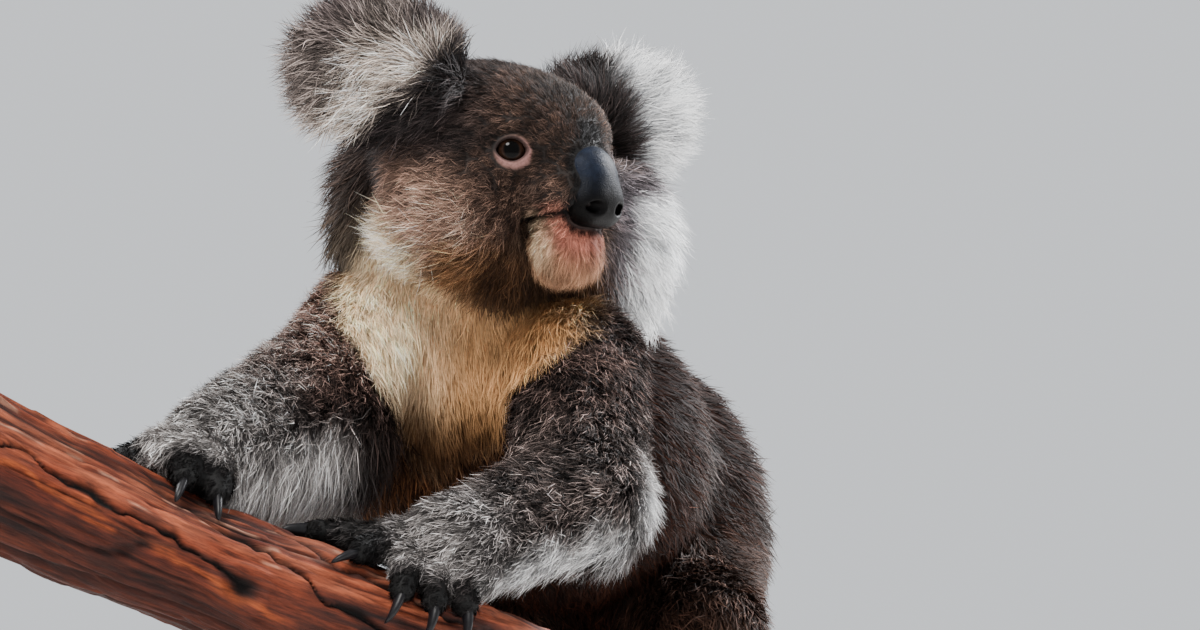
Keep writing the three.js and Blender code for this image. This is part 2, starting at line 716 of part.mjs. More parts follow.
for (const [name, s] of Object.entries(stand.rods)) {
  const foot = perchLine.getPointAt(s / perchLength);
  const low = stand.topLevel - stand.rodDepthInBoard;
  const high = foot.z - perchRadius(s) + stand.rodDepthInPerch;
  const { rodRadius, collarRadius, collarHeight } = stand;
  const rodWith = (gap) => {
    const profile = [
      [0, low - gap],
      [rodRadius + gap, low - gap],
      [rodRadius + gap, stand.topLevel + restGap - gap],
      [collarRadius, stand.topLevel + restGap - gap],
      [collarRadius, stand.topLevel + collarHeight - 2],
      [collarRadius - 2, stand.topLevel + collarHeight],
      [rodRadius + gap, stand.topLevel + collarHeight],
      [rodRadius + gap, high + gap],
      [0, high + gap],
    ].map(([r, z]) => new THREE.Vector2(r, z));
    const rod = new THREE.LatheGeometry(profile, 8);
    rod.rotateX(Math.PI / 2);
    rod.translate(foot.x, foot.y, 0);
    return solidOfGeometry(rod);
  };
  addSolid("stand_rod_" + name, rodWith(0), steel);
  boardSolid = boardSolid.subtract(rodWith(restGap));
  drilledPerch = drilledPerch.subtract(rodWith(restGap));
}
addSolid("stand_base", boardSolid, board);
addSolid("perch_branch", drilledPerch, bark);

export default model;
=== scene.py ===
import bpy
import math
import time
import numpy as np
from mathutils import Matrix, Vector


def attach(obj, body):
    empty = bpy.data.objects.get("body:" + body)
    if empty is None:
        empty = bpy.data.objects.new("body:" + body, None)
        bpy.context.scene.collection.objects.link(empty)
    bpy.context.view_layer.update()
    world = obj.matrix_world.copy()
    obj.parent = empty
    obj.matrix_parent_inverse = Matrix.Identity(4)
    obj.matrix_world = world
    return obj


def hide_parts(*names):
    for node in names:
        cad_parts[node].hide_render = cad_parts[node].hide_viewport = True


# A young koala on a cut branch, with its display stand.
startTime = time.time()


def report(text):
    print(f"[koala] {text} ({time.time() - startTime:.1f} s)")


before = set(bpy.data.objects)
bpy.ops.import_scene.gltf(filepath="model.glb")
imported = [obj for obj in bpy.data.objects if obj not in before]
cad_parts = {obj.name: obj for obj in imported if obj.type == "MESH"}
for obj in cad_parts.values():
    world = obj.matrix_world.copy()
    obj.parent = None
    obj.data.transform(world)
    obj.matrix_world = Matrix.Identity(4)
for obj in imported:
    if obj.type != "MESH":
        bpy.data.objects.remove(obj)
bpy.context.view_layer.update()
random = np.random.default_rng(41)
report("frame loaded")

# Shapes are worked out in millimetres in a modelling frame whose origin is between the shoulders.
modelShift = np.array([55.0, -45.0, 318.0])


def placed(points):  # modelling millimetres to frame metres
    return (np.asarray(points, float) + modelShift) * 0.001


def vec(*values):
    return np.array(values, float)


def unit(v):
    return v / np.maximum(np.linalg.norm(v, axis=-1, keepdims=True), 1e-9)


def dot(a, b):
    return np.sum(a * b, axis=-1)


def ramp(x, low, high):  # 0 below low, 1 above high, smooth between
    t = np.clip((x - low) / (high - low), 0, 1)
    return t * t * (3 - 2 * t)


def fade(x, low, high):  # 1 below low, 0 above high
    return 1 - ramp(x, low, high)


def linear(r, g, b):  # display values 0..255 to linear colour
    return (vec(r, g, b) / 255.0) ** 2.2


def mixed(a, b, t):
    t = np.asarray(t)[..., None]
    return a * (1 - t) + b * t


def hashed(cells, seed):  # a repeatable random number 0..1 for each row of whole numbers
    h = cells[..., 0] * 374761393 + cells[..., 1] * 668265263 + cells[..., 2] * 2147483647 + seed * 974711
    h = (h ^ (h >> 13)) * 1274126177
    return ((h ^ (h >> 16)) & 0xFFFFF) / 1048575.0


def wander(points, size, seed):  # smooth random field about -1..1: a lattice's values, eased between
    q = points / size
    base = np.floor(q).astype(np.int64)
    t = q - base
    t = t * t * (3 - 2 * t)
    total = 0
    for corner in np.ndindex(2, 2, 2):
        weight = np.prod(np.where(corner, t, 1 - t), axis=-1)
        total = total + weight * hashed(base + np.array(corner), seed)
    return total * 2 - 1


def wander3(points, size, seed):
    return np.stack([wander(points, size, seed + k) for k in range(3)], axis=-1)


# A distance field is a function of an (n, 3) array of points that is below zero inside the form.
def egg(centre, radii, tilt=0.0):  # an ellipsoid: k0 (k0 - 1) / k1, turned by tilt about its second axis
    centre, radii = vec(*centre), vec(*radii)
    c, s = math.cos(math.radians(tilt)), math.sin(math.radians(tilt))

    def distance(p):
        d = p - centre
        e = np.stack([c * d[:, 0] - s * d[:, 2], d[:, 1], s * d[:, 0] + c * d[:, 2]], axis=1)
        k0 = np.linalg.norm(e / radii, axis=1)
        k1 = np.linalg.norm(e / radii ** 2, axis=1)
        return k0 * (k0 - 1) / np.maximum(k1, 1e-9)
    return distance


def limb(a, b, ra, rb):  # two balls and the cone between them
    a, b = vec(*a), vec(*b)
    ba = b - a
    l2 = ba @ ba
    rr = ra - rb
    a2 = l2 - rr * rr

    def distance(p):
        pa = p - a
        along = pa @ ba
        past = along - l2
        q = pa * l2 - along[:, None] * ba
        x2 = dot(q, q)
        y2 = along * along * l2
        z2 = past * past * l2
        k = np.sign(rr) * rr * rr * x2
        cone = (np.sqrt(x2 * a2 / l2) + along * rr) / l2 - ra
        low = np.sqrt(x2 + y2) / l2 - ra
        high = np.sqrt(x2 + z2) / l2 - rb
        lower = np.where(np.sign(along) * a2 * y2 < k, low, cone)
        return np.where(np.sign(past) * a2 * z2 > k, high, lower)
    return distance


def joined(size, parts):  # smooth union with a fillet
    def distance(p):
        d = parts[0](p)
        for part in parts[1:]:
            e = part(p)
            h = np.maximum(size - np.abs(d - e), 0) / size
            d = np.minimum(d, e) - h * h * size / 4
        return d
    return distance


def pressed(size, part, tool):  # smooth difference
    cut = joined(size, [lambda p: -part(p), tool])
    return lambda p: -cut(p)


def slope(part, p, step=0.3):  # gradient from central differences
    shifts = np.eye(3) * step
    return np.stack([(part(p + s) - part(p - s)) / (2 * step) for s in shifts], axis=1)


def settled(part, p, rounds=2, reach=2.0):  # moves points along the slope to where the field is zero
    for _ in range(rounds):
        g = slope(part, p)
        move = -part(p)[:, None] * g / np.maximum(dot(g, g), 0.2)[:, None]
        size = np.linalg.norm(move, axis=1, keepdims=True)
        p = p + move * np.minimum(1, reach / np.maximum(size, 1e-9))
    return p


def netOf(part, low, high, step):
    # One vertex per mixed cell at the mean of its edge crossings, one quad per crossed grid edge.
    # The field is worked out on every fourth point first, and in full only near the surface.
    count = [int(math.ceil((high[i] - low[i]) / step / 4)) * 4 + 1 for i in range(3)]
    axes = [low[i] + step * np.arange(count[i]) for i in range(3)]
    coarse = np.stack(np.meshgrid(*[a[::4] for a in axes], indexing="ij"), axis=-1)
    rough = part(coarse.reshape(-1, 3)).reshape(coarse.shape[:3])
    index = np.meshgrid(*[np.minimum((np.arange(n) + 2) // 4, (n - 1) // 4) for n in count], indexing="ij")
    value = rough[tuple(index)]
    near = np.abs(value) < 7.5 * step
    points = np.stack([axes[k][i] for k, i in enumerate(np.nonzero(near))], axis=1)
    value[near] = part(points)
    inside = value < 0
    cells = tuple(n - 1 for n in count)
    total = np.zeros(cells + (3,))
    crossings = np.zeros(cells)

    def corner(array, offset):
        return array[tuple(slice(o, o + n) for o, n in zip(offset, cells))]

    for axis in range(3):
        others = [k for k in range(3) if k != axis]
        for u, v in ((0, 0), (0, 1), (1, 0), (1, 1)):
            start = [0, 0, 0]
            start[others[0]], start[others[1]] = u, v
            end = list(start)
            end[axis] = 1
            a, b = corner(value, start), corner(value, end)
            crossed = corner(inside, start) != corner(inside, end)
            t = np.where(crossed, a / np.where(crossed, a - b, 1), 0)
            place = np.zeros(cells + (3,))
            place[..., others[0]], place[..., others[1]] = u, v
            place[..., axis] = t
            total += place * crossed[..., None]
            crossings += crossed
    used = crossings > 0
    number = np.full(cells, -1, np.int64)
    number[used] = np.arange(np.count_nonzero(used))
    where = np.stack(np.nonzero(used), axis=1)
    vertices = np.array(low) + step * (where + total[used] / crossings[used][:, None])
    quads = []
    for axis in range(3):
        b, c = (axis + 1) % 3, (axis + 2) % 3
        first = [slice(None)] * 3
        second = [slice(None)] * 3
        first[axis], second[axis] = slice(0, -1), slice(1, None)
        for k in (b, c):
            first[k] = second[k] = slice(1, -1)
        here, there = inside[tuple(first)], inside[tuple(second)]
        at = np.stack(np.nonzero(here != there), axis=1)
        at[:, b] += 1
        at[:, c] += 1
        ring = []
        for db, dc in ((-1, -1), (0, -1), (0, 0), (-1, 0)):
            cell = at.copy()
            cell[:, b] += db
            cell[:, c] += dc
            ring.append(number[cell[:, 0], cell[:, 1], cell[:, 2]])
        ring = np.stack(ring, axis=1)
        outward = here[here != there]
        quads.append(np.where(outward[:, None], ring, ring[:, ::-1]))
    quads = np.concatenate(quads)
    triangles = np.concatenate([quads[:, [0, 1, 2]], quads[:, [0, 2, 3]]])
    return vertices, triangles


def refined(vertices, triangles, wanted):
    # Splits each wanted triangle in four at its edge middles, and its neighbours in two, three or four.
    edges = np.sort(triangles[:, [[0, 1], [1, 2], [2, 0]]], axis=2).reshape(-1, 2)
    key = edges[:, 0] * len(vertices) + edges[:, 1]
    unique, back = np.unique(key, return_inverse=True)
    split = np.zeros(len(unique), bool)
    split[back.reshape(-1, 3)[wanted].ravel()] = True
    number = np.full(len(unique), -1, np.int64)
    number[split] = len(vertices) + np.arange(np.count_nonzero(split))
    ends = np.stack([unique[split] // len(vertices), unique[split] % len(vertices)], axis=1)
    vertices = np.concatenate([vertices, vertices[ends].mean(axis=1)])
    m = number[back].reshape(-1, 3)
    has = (m >= 0).sum(axis=1)
    out = [triangles[has == 0]]
    four, mf = triangles[has == 3], m[has == 3]
    out += [np.stack([four[:, k], mf[:, k], mf[:, k - 1]], axis=1) for k in range(3)] + [mf]
    for count in (1, 2):
        t, e = triangles[has == count], m[has == count]
        turn = np.argmax(e >= 0, axis=1) if count == 1 else (np.argmax(e < 0, axis=1) + 1) % 3
        order = (turn[:, None] + np.arange(3)) % 3
        t, e = np.take_along_axis(t, order, 1), np.take_along_axis(e, order, 1)
        if count == 1:
            out += [np.stack([t[:, 0], e[:, 0], t[:, 2]], 1), np.stack([e[:, 0], t[:, 1], t[:, 2]], 1)]
        else:
            out += [np.stack([e[:, 0], t[:, 1], e[:, 1]], 1), np.stack([t[:, 0], e[:, 0], e[:, 1]], 1)]
            out += [np.stack([t[:, 0], e[:, 1], t[:, 2]], 1)]
    return vertices, np.concatenate(out)


def normalsOf(vertices, triangles):
    a, b, c = (vertices[triangles[:, k]] for k in range(3))
    face = np.cross(b - a, c - a)
    total = np.zeros_like(vertices)
    for k in range(3):
        for axis in range(3):
            total[:, axis] += np.bincount(triangles[:, k], face[:, axis], len(vertices))
    return unit(total), np.linalg.norm(face, axis=1) / 2


def meshPiece(name, vertices, faces, material, replaces=(), colour=None, uv=None, extra=None):
    # faces is an (n, 3) or (n, 4) array; colour, uv and extra are one row for each vertex.
    mesh = bpy.data.meshes.new(name)
    sides = faces.shape[1]
    mesh.vertices.add(len(vertices))
    mesh.loops.add(faces.size)
    mesh.polygons.add(len(faces))
    mesh.vertices.foreach_set("co", placed(vertices).astype(np.float32).ravel())
    mesh.loops.foreach_set("vertex_index", faces.astype(np.int32).ravel())
    mesh.polygons.foreach_set("loop_start", np.arange(len(faces), dtype=np.int32) * sides)
    mesh.update(calc_edges=True)
    mesh.polygons.foreach_set("use_smooth", np.ones(len(faces), bool))
    if colour is not None:
        layer = mesh.attributes.new("coatColour", "FLOAT_COLOR", "POINT")
        rgba = np.ones((len(vertices), 4), np.float32)
        rgba[:, :3] = colour
        layer.data.foreach_set("color", rgba.ravel())
    for key, values in (extra or {}).items():
        layer = mesh.attributes.new(key, "FLOAT", "POINT")
        layer.data.foreach_set("value", np.asarray(values, np.float32))
    if uv is not None:
        layer = mesh.uv_layers.new(name="OFBake")
        layer.data.foreach_set("uv", uv[faces.ravel()].astype(np.float32).ravel())
    mesh.materials.append(material)
    piece = bpy.data.objects.new(name, mesh)
    bpy.context.scene.collection.objects.link(piece)
    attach(piece, "root")
    if replaces:
        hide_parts(*replaces)
    return piece


def sheetFaces(rows, columns, wrap):  # quads of a grid of points, closed round the columns when wrap is true
    i, j = np.meshgrid(np.arange(rows - 1), np.arange(columns if wrap else columns - 1), indexing="ij")
    k = (j + 1) % columns
    corners = [i * columns + j, i * columns + k, (i + 1) * columns + k, (i + 1) * columns + j]
    return np.stack(corners, -1).reshape(-1, 4)


# The branch's line runs from its cut front end, under the hands, back under the feet.
perch = {
    "radius": 28.0,
    "swell": 7.0, "swellAt": -10, "swellLength": 55,
    "waves": ((1.2, 31), (0.8, 13)),  # height and length over 2 pi
    "points": [(-296, -150, -46), (-250, -137, -65), (-171, -118, -102), (-84, -90, -138), (-42, -50, -155),
               (-14, 12, -170), (4, 90, -186), (12, 170, -207), (15, 292, -240)],
}


def centripetal(points, steps):  # Catmull-Rom, with knots spaced by the root of the points' distance
    p = np.array(points, float)
    p = np.concatenate([[2 * p[0] - p[1]], p, [2 * p[-1] - p[-2]]])
    out = []
    for k in range(1, len(p) - 2):
        dt = [max(np.linalg.norm(p[k + j] - p[k + j - 1]) ** 0.5, 1e-4) for j in range(3)]
        a = (p[k] - p[k - 1]) / dt[0] - (p[k + 1] - p[k - 1]) / (dt[0] + dt[1]) + (p[k + 1] - p[k]) / dt[1]
        b = (p[k + 1] - p[k]) / dt[1] - (p[k + 2] - p[k]) / (dt[1] + dt[2]) + (p[k + 2] - p[k + 1]) / dt[2]
        a, b = a * dt[1], b * dt[1]
        t = (np.arange(steps) / steps)[:, None]
        d = p[k + 1] - p[k]
        out.append(p[k] + a * t + (3 * d - 2 * a - b) * t ** 2 + (a + b - 2 * d) * t ** 3)
    return np.concatenate(out + [p[-2:-1]])


perchPath = centripetal(perch["points"], 60)
perchRun = np.concatenate([[0], np.cumsum(np.linalg.norm(np.diff(perchPath, axis=0), axis=1))])
perchLength = perchRun[-1]
perchTangent = unit(np.gradient(perchPath, perchRun, axis=0))


def perchRadius(s):  # swollen at the front end, with two slow waves
    radius = perch["radius"] + perch["swell"] * np.exp(-((s - perch["swellAt"]) / perch["swellLength"]) ** 2)
    for height, run in perch["waves"]:
        radius = radius + height * np.sin(s / run)
    return radius


def onPerch(s, degrees, lift):  # way along the branch, angle round it from the top, height over the bark
    s = np.clip(np.asarray(s, float), 0, perchLength)
    point = np.stack([np.interp(s, perchRun, perchPath[:, k]) for k in range(3)], axis=-1)
    along = unit(np.stack([np.interp(s, perchRun, perchTangent[:, k]) for k in range(3)], axis=-1))
    up = unit(vec(0, 0, 1) - along * along[..., 2:3])
    side = np.cross(along, up)
    a = np.radians(degrees)[..., None] if np.ndim(degrees) else math.radians(degrees)
    reach = np.asarray(perchRadius(s) + lift)[..., None]
    return point + (up * np.cos(a) + side * np.sin(a)) * reach


# The head has a frame of its own, turned to the animal's left and raised a little.
head = {"centre": vec(-41, 0, 60), "yaw": 50, "pitch": 6, "roll": 4}
yaw, pitch, roll = (math.radians(head[k]) for k in ("yaw", "pitch", "roll"))
headForward = vec(math.sin(yaw) * math.cos(pitch), -math.cos(yaw) * math.cos(pitch), math.sin(pitch))
headLevel = vec(math.cos(yaw), math.sin(yaw), 0)
headUpright = np.cross(headForward, headLevel)
headLeft = headLevel * math.cos(roll) - headUpright * math.sin(roll)
headUp = np.cross(headForward, headLeft)
headAxes = np.stack([headForward, headLeft, headUp])  # the head's own frame: forward, left, up


def onHead(x, y, z):
    return head["centre"] + vec(x, y, z) @ headAxes


def toHead(p):
    return (p - head["centre"]) @ headAxes.T


def inHead(part):
    return lambda p: part(toHead(p))


eye = {"radius": 8.2, "forward": 26.2, "side": 26.4, "up": 4.4, "lid": 1.5}
faceCoat = 2.2  # how far the skin lies under the tips of the face's fur


def less(radii, coat):  # the radii under the coat, whose depth is one number or one for each
    return tuple(vec(*radii) - coat)


sideSigns = {"right": -1, "left": 1}
bothSides = tuple(sideSigns.values())
skullSkin = pressed(7, joined(12, [
    egg((-8, 0, 11), less((48, 52, 40.5), 3.6)),
    egg((16, 0, 13), less((33, 37, 27), faceCoat)),
    *[egg((-2, 30 * s, -13), less((38, 28, 33), 6)) for s in bothSides],
    egg((-16, 0, -24), less((34, 42, 28), 8)),
    egg((36, 0, -6), less((20, 19, 19), 1.8)),
    *[egg((40, 8 * s, -15), less((14, 12, 10), 1.2)) for s in bothSides],
    egg((33, 0, -36), less((17, 17, 14), 2)),
]), joined(1, [egg((eye["forward"] + 10, (eye["side"] + 10) * s, eye["up"]), (8, 8, 8)) for s in bothSides]))
lidRadius = eye["radius"] + eye["lid"]
lidDomes = [egg((eye["forward"], eye["side"] * s, eye["up"]), [lidRadius] * 3) for s in bothSides]
noseForm = joined(6, [
    egg((49.5, 0, -10.5), (10.5, 12.5, 16.5), -8),
    egg((46, 0, -3), (9.5, 12, 9)),
    *[egg((49, 6 * s, -19), (9, 8.5, 9)) for s in bothSides],
])
headSkin = inHead(joined(3.5, [skullSkin, *lidDomes]))

ears = {
    "right": {"root": onHead(-4, -42, 31), "centre": onHead(-12, -62, 43), "radii": (30, 26, 7),
              "out": vec(-0.96, -0.18, 0.2), "open": vec(-0.1, -1, 0.1)},
    "left": {"root": onHead(0, 44, 27), "centre": onHead(5, 70, 29), "radii": (26, 22, 7),
             "out": vec(0.85, 0.5, 0.1), "open": vec(0.45, -0.85, 0)},
}


def earAxes(ear):  # across the ear towards its tip, up it, and out of its cup
    across = unit(ear["out"])
    facing = unit(ear["open"] - across * (ear["open"] @ across))
    return np.stack([across, np.cross(facing, across), facing])


def earSkin(ear):  # a shallow bowl on a short neck
    axes = earAxes(ear)
    cup = pressed(5, egg((0, 0, 0), ear["radii"]), egg((2, 0, 9.5), (17, 14, 7)))
    middle = (ear["root"] + ear["centre"]) / 2
    return joined(8, [lambda p: cup((p - ear["centre"]) @ axes.T), limb(ear["root"], middle, 14, 10)])


spine = {"neck": vec(-50, 46, -6), "chest": vec(-52, 38, -28), "loin": vec(-20, 112, -62),
         "rump": vec(0, 190, -97)}
arms = {
    "right": {"joints": [vec(-98, 20, -8), vec(-122, -34, -40), vec(-162, -88, -55)], "radii": (37, 36, 25)},
    "left": {"joints": [vec(-11, 2, -24), vec(-8, -46, -78), vec(-60, -88, -97)], "radii": (38, 33, 25)},
}
legs = {
    "right": {"joints": [vec(-32, 200, -112), vec(-58, 122, -144), vec(-24, 200, -200)],
              "radii": (50, 32, 20)},
    "left": {"joints": [vec(28, 192, -112), vec(46, 114, -141), vec(48, 198, -202)],
             "radii": (50, 31, 20)},
}
depth = {"neck": 13, "ruff": 15, "trunk": 11, "arm": (10, 9, 6), "leg": (11, 8, 5)}


def limbSkins(bones, coat):
    top, middle, end = bones["joints"]
    r = less(bones["radii"], coat)
    return [limb(top, middle, r[0], r[1]), limb(middle, end, r[1], r[2])]


neckSkin = joined(20, [
    limb(spine["neck"], onHead(-18, 0, -8), 50 - depth["neck"], 42 - depth["neck"]),
    egg((-40, 26, 38), less((70, 38, 46), depth["ruff"])),
    egg((-76, 26, 48), less((41, 32, 48), 9)),
    egg((-6, 36, 30), less((36, 30, 44), 9)),
])
trunkSkin = joined(22, [
    egg(spine["chest"], less((62, 56, 60), depth["trunk"])),
    egg(spine["loin"], less((72, 74, 72), depth["trunk"])),
    limb((-46, 66, -24), (-6, 180, -84), 56 - depth["trunk"], 70 - depth["trunk"]),
    egg(spine["rump"], less((81, 70, 86), depth["trunk"])),
    egg((-80, 52, -68), less((58, 50, 36), depth["trunk"])),
])


# Hands and feet lie on the branch. Each digit: its first and last place along the branch from the paw's
# station, and its first and last angle round it.
def footDigits(s):
    return [(4, 0, 40 * s, 8 * s), (-12, -36, 60 * s, 62 * s), (-14, -44, 72 * s, 78 * s),
            (-12, -46, 86 * s, 95 * s), (-6, -38, 98 * s, 113 * s)]


paws = {  # pale: how pale its back is; bareEnd: how far from the digits' tips the black hair reaches
    "hand_right": {"station": 130, "palm": (0, -10, 13), "joint": arms["right"]["joints"][2], "girth": 16,
                   "claws": (1, 2, 3, 4, 5), "pale": 0.8, "bareEnd": 9,
                   "digits": [(8, 10, -4, 16), (-5, -6, -4, 18), (-16, -24, -12, -34), (-14, -34, -26, -48),
                              (-4, -18, -34, -64)]},
    "hand_left": {"station": 240, "palm": (0, 4, 13), "joint": arms["left"]["joints"][2], "girth": 20,
                  "claws": (1, 2, 3, 4, 5), "pale": 0.42, "bareEnd": 7,
                  "digits": [(-20, -50, -18, -20), (-17, -36, -2, 28), (-13, -18, 6, 54), (-4, -5, 8, 56),
                             (6, 8, 8, 52)]},
    "foot_right": {"station": 532, "palm": (0, -62, 12), "joint": legs["right"]["joints"][2], "girth": 16,
                   "claws": (2, 3, 4, 5), "bareEnd": 7, "digits": footDigits(-1)},
    "foot_left": {"station": 532, "palm": (0, 62, 12), "joint": legs["left"]["joints"][2], "girth": 16,
                  "claws": (2, 3, 4, 5), "bareEnd": 7, "digits": footDigits(1)},
}
digit = {"root": 6.4, "tip": 5.2, "arch": 9, "tipLift": 6, "palm": 11}


def pawPoint(paw, place):  # place: along the branch from the paw's station, round it, and over its bark
    return onPerch(paw["station"] + place[0], place[1], place[2])


def digitPoints(paw, d):  # its root, knuckle and tip
    s0, s1, a0, a1 = d
    bend = ((s0 + s1) / 2, (a0 + a1) / 2, digit["arch"])
    return [pawPoint(paw, place) for place in ((s0, a0, paw["palm"][2]), bend, (s1, a1, digit["tipLift"]))]


def pawSkin(paw):
    palm = pawPoint(paw, paw["palm"])
    bones = [digitPoints(paw, d) for d in paw["digits"]]
    heel = joined(7, [limb(paw["joint"], palm, paw["girth"], digit["palm"]),
                      *[limb(root, palm, digit["root"], digit["palm"] - 1) for root, _, _ in bones]])
    fingers = [joined(3, [limb(root, knuckle, digit["root"] + 0.8, digit["root"]),
                          limb(knuckle, tip, digit["root"], digit["tip"])]) for root, knuckle, tip in bones]
    return joined(4, [heel, *fingers])


# Every form of the skin with the body part that it belongs to.
limbForms = {f"arm_{side}": limbSkins(arms[side], depth["arm"]) for side in arms}
limbForms.update({f"leg_{side}": limbSkins(legs[side], depth["leg"]) for side in legs})
forms = {
    "head": headSkin,
    "ear_right": earSkin(ears["right"]),
    "ear_left": earSkin(ears["left"]),
    "neck": neckSkin,
    "trunk": trunkSkin,
    **{name: joined(10, parts) for name, parts in limbForms.items()},
    **{name: pawSkin(paw) for name, paw in paws.items()},
}
wholeBody = joined(14, [forms["neck"], forms["trunk"], *[forms[k] for k in forms if k[:3] in ("arm", "leg")]])
wholeSkin = joined(5, [joined(9, [wholeBody, forms["head"]]), forms["ear_right"], forms["ear_left"],
                       *[forms[k] for k in paws]])

# The skin's mesh is finer on the face, the paws, the lids and the mouth.
skin = {
    "low": (-205, -135, -262), "high": (112, 292, 142), "step": 3.0,
    "face": (8, 50, -55, 45), "mouth": (20, 27, -36, -12),  # behind, to the side, below and above
    "paw": 52, "eye": 16, "lid": 12.5,
}
points, triangles = netOf(wholeSkin, skin["low"], skin["high"], skin["step"])
report(f"skin net: {len(points)} points, {len(triangles)} triangles")
points = settled(wholeSkin, points)
eyeCentres = {side: onHead(eye["forward"], eye["side"] * s, eye["up"]) for side, s in sideSigns.items()}


palms = [pawPoint(paw, paw["palm"]) for paw in paws.values()]


def within(p, centres, reach):
    return np.min([np.linalg.norm(p - c, axis=1) for c in centres], axis=0) < reach


def onFront(p, back, side, low, high):  # a block of the head's front, in the head's frame
    q = toHead(p)
    return (q[:, 0] > back) & (np.abs(q[:, 1]) < side) & (q[:, 2] > low) & (q[:, 2] < high)


for wanted in (lambda p: onFront(p, *skin["face"]) | within(p, palms, skin["paw"]),
               lambda p: within(p, eyeCentres.values(), skin["eye"]) | onFront(p, *skin["mouth"]),
               lambda p: within(p, eyeCentres.values(), skin["lid"])):
    middles = points[triangles].mean(axis=1)
    old = len(points)
    points, triangles = refined(points, triangles, wanted(middles))
    points[old:] = settled(wholeSkin, points[old:], 1)
report(f"skin refined: {len(points)} points, {len(triangles)} triangles")

# Lids and mouth are pressed into the skin's mesh.
lids = {"halfWidth": 6.9, "halfHeight": 5.2, "hollow": 5.0, "reach": 12, "off": 30.0,
        "bareMiddle": (1.2, -1.2), "bareRadii": (8.2, 7.0)}
mouth = {"line": np.array([(0, -26.5), (4, -23.5), (10, -21), (18, -22.6), (22.5, -29)]),
         "back": 18, "depth": 2.4, "lip": 0.5, "off": 99.0}


def eyeAxes(s):  # in the head's frame: out along the gaze, in towards the nose, and up
    out = unit(vec(0.72, 0.69 * s, 0.04))
    inner = unit(vec(0.69, -0.72 * s, -0.06))
    return out, inner, np.cross(inner, out) * s


def eyeSpot(q, s):  # how far a point is outside the almond opening, and its place towards the nose and up
    out, inner, up = eyeAxes(s)
    d = q - vec(eye["forward"], eye["side"] * s, eye["up"])
    a, b, c = d @ inner, d @ up, d @ out
    width = a / lids["halfWidth"]
    height = b / (lids["halfHeight"] * (1 - 0.22 * np.minimum(width * width, 1.6)))
    edge = (np.sqrt(width ** 2 + height ** 2) - 1) * lids["halfHeight"]
    return np.where(c > 0, edge, lids["off"]), a, b


def mouthGap(q):  # distance from the line of the mouth, seen from the front
    seen = np.stack([np.abs(q[:, 1]), q[:, 2]], axis=1)
    best = np.full(len(q), mouth["off"])
    for a, b in zip(mouth["line"][:-1], mouth["line"][1:]):
        t = np.clip(((seen - a) @ (b - a)) / ((b - a) @ (b - a)), 0, 1)
        best = np.minimum(best, np.linalg.norm(seen - a - t[:, None] * (b - a), axis=1))
    return np.where(q[:, 0] > mouth["back"], best, mouth["off"])


def bump(x, middle, width):  # a bell of height 1: e to the minus ((x - middle) / width) squared
    return np.exp(-((x - middle) / width) ** 2)


normals = normalsOf(points, triangles)[0]
q = toHead(points)
shift = np.zeros_like(points)
for s in bothSides:
    out, inner, up = eyeAxes(s)
    edge, a, b = eyeSpot(q, s)
    crease = 0.5 * bump(edge, 3.4, 0.8) * ramp(b, -1, 3)
    rim = 0.45 * bump(edge, 0.9, 0.8) - crease + 0.3 * bump(edge, 5.2, 1.3)
    inwards = lids["hollow"] * ramp(-edge, -0.05, 1.1)
    shift += np.where(edge < lids["reach"], rim - inwards, 0)[:, None] * (out @ headAxes)
gap = mouthGap(q)
shift += (-mouth["depth"] * bump(gap, 0, 1.1) + mouth["lip"] * bump(gap, 2.4, 1.2))[:, None] * normals
points = points + shift
normals, areas = normalsOf(points, triangles)
q = toHead(points)

# Each point of the skin has a share of every body part, which blends the coat's lie and kind.
fields = {name: part(points) for name, part in forms.items()}
nearest = np.min(list(fields.values()), axis=0)
share = {name: np.exp(-(d - nearest) / 5.0) for name, d in fields.items()}
total = np.sum(list(share.values()), axis=0)
share = {name: w / total for name, w in share.items()}


def along(a, b):
    return unit(np.asarray(b, float) - np.asarray(a, float)) * np.ones_like(points)


def boneFlow(joints):  # from the first joint to the second, then to the third
    top, middle, end = joints
    t = ramp((points - middle) @ unit(end - middle), -25, 15)
    return mixed(along(top, middle), along(middle, end), t)


faceFlow = unit(q - vec(58, 0, -2)) + vec(0, 0, -0.12) + 0.35 * np.stack(
    [np.zeros(len(q)), np.sign(q[:, 1]) * ramp(np.abs(q[:, 1]), 5, 30), np.zeros(len(q))], axis=1)
flows = {
    "head": faceFlow @ headAxes,
    "ear_right": unit(points - ears["right"]["root"] - vec(10, 0, -6)) + vec(-0.15, 0, -0.25),
    "ear_left": unit(points - ears["left"]["root"]) + vec(0.1, 0, 0.15),
    "neck": unit(points - onHead(10, 0, 10)) + vec(0, 0, -0.7),
    "trunk": (along(spine["neck"], spine["rump"]) + vec(0, 0, -0.45)
              - 0.9 * ramp(-points[:, 1], -45, 0)[:, None] * vec(0, 1, 0.6)),
    "arm_right": boneFlow(arms["right"]["joints"]),
    "arm_left": boneFlow(arms["left"]["joints"]),
    "leg_right": boneFlow(legs["right"]["joints"]),
    "leg_left": boneFlow(legs["left"]["joints"]),
}
for name, paw in paws.items():
    tips = np.mean([digitPoints(paw, d)[2] for d in paw["digits"]], axis=0)
    flows[name] = along(paw["joint"], tips)
earAt = {side: (points - ear["centre"]) @ earAxes(ear).T for side, ear in ears.items()}
earUp = {"right": -earAt["right"][:, 1], "left": earAt["left"][:, 1]}
corner = ramp(-earAt["right"][:, 0], 8, 20) * ramp(earUp["right"], -2, 8)
cupped = ramp(earAt["right"][:, 2], 0, 4) * fade(earUp["right"], 8, 18)
top = ramp(earUp["right"], 6, 18)
far = fade(earAt["left"][:, 0], -16, -4)
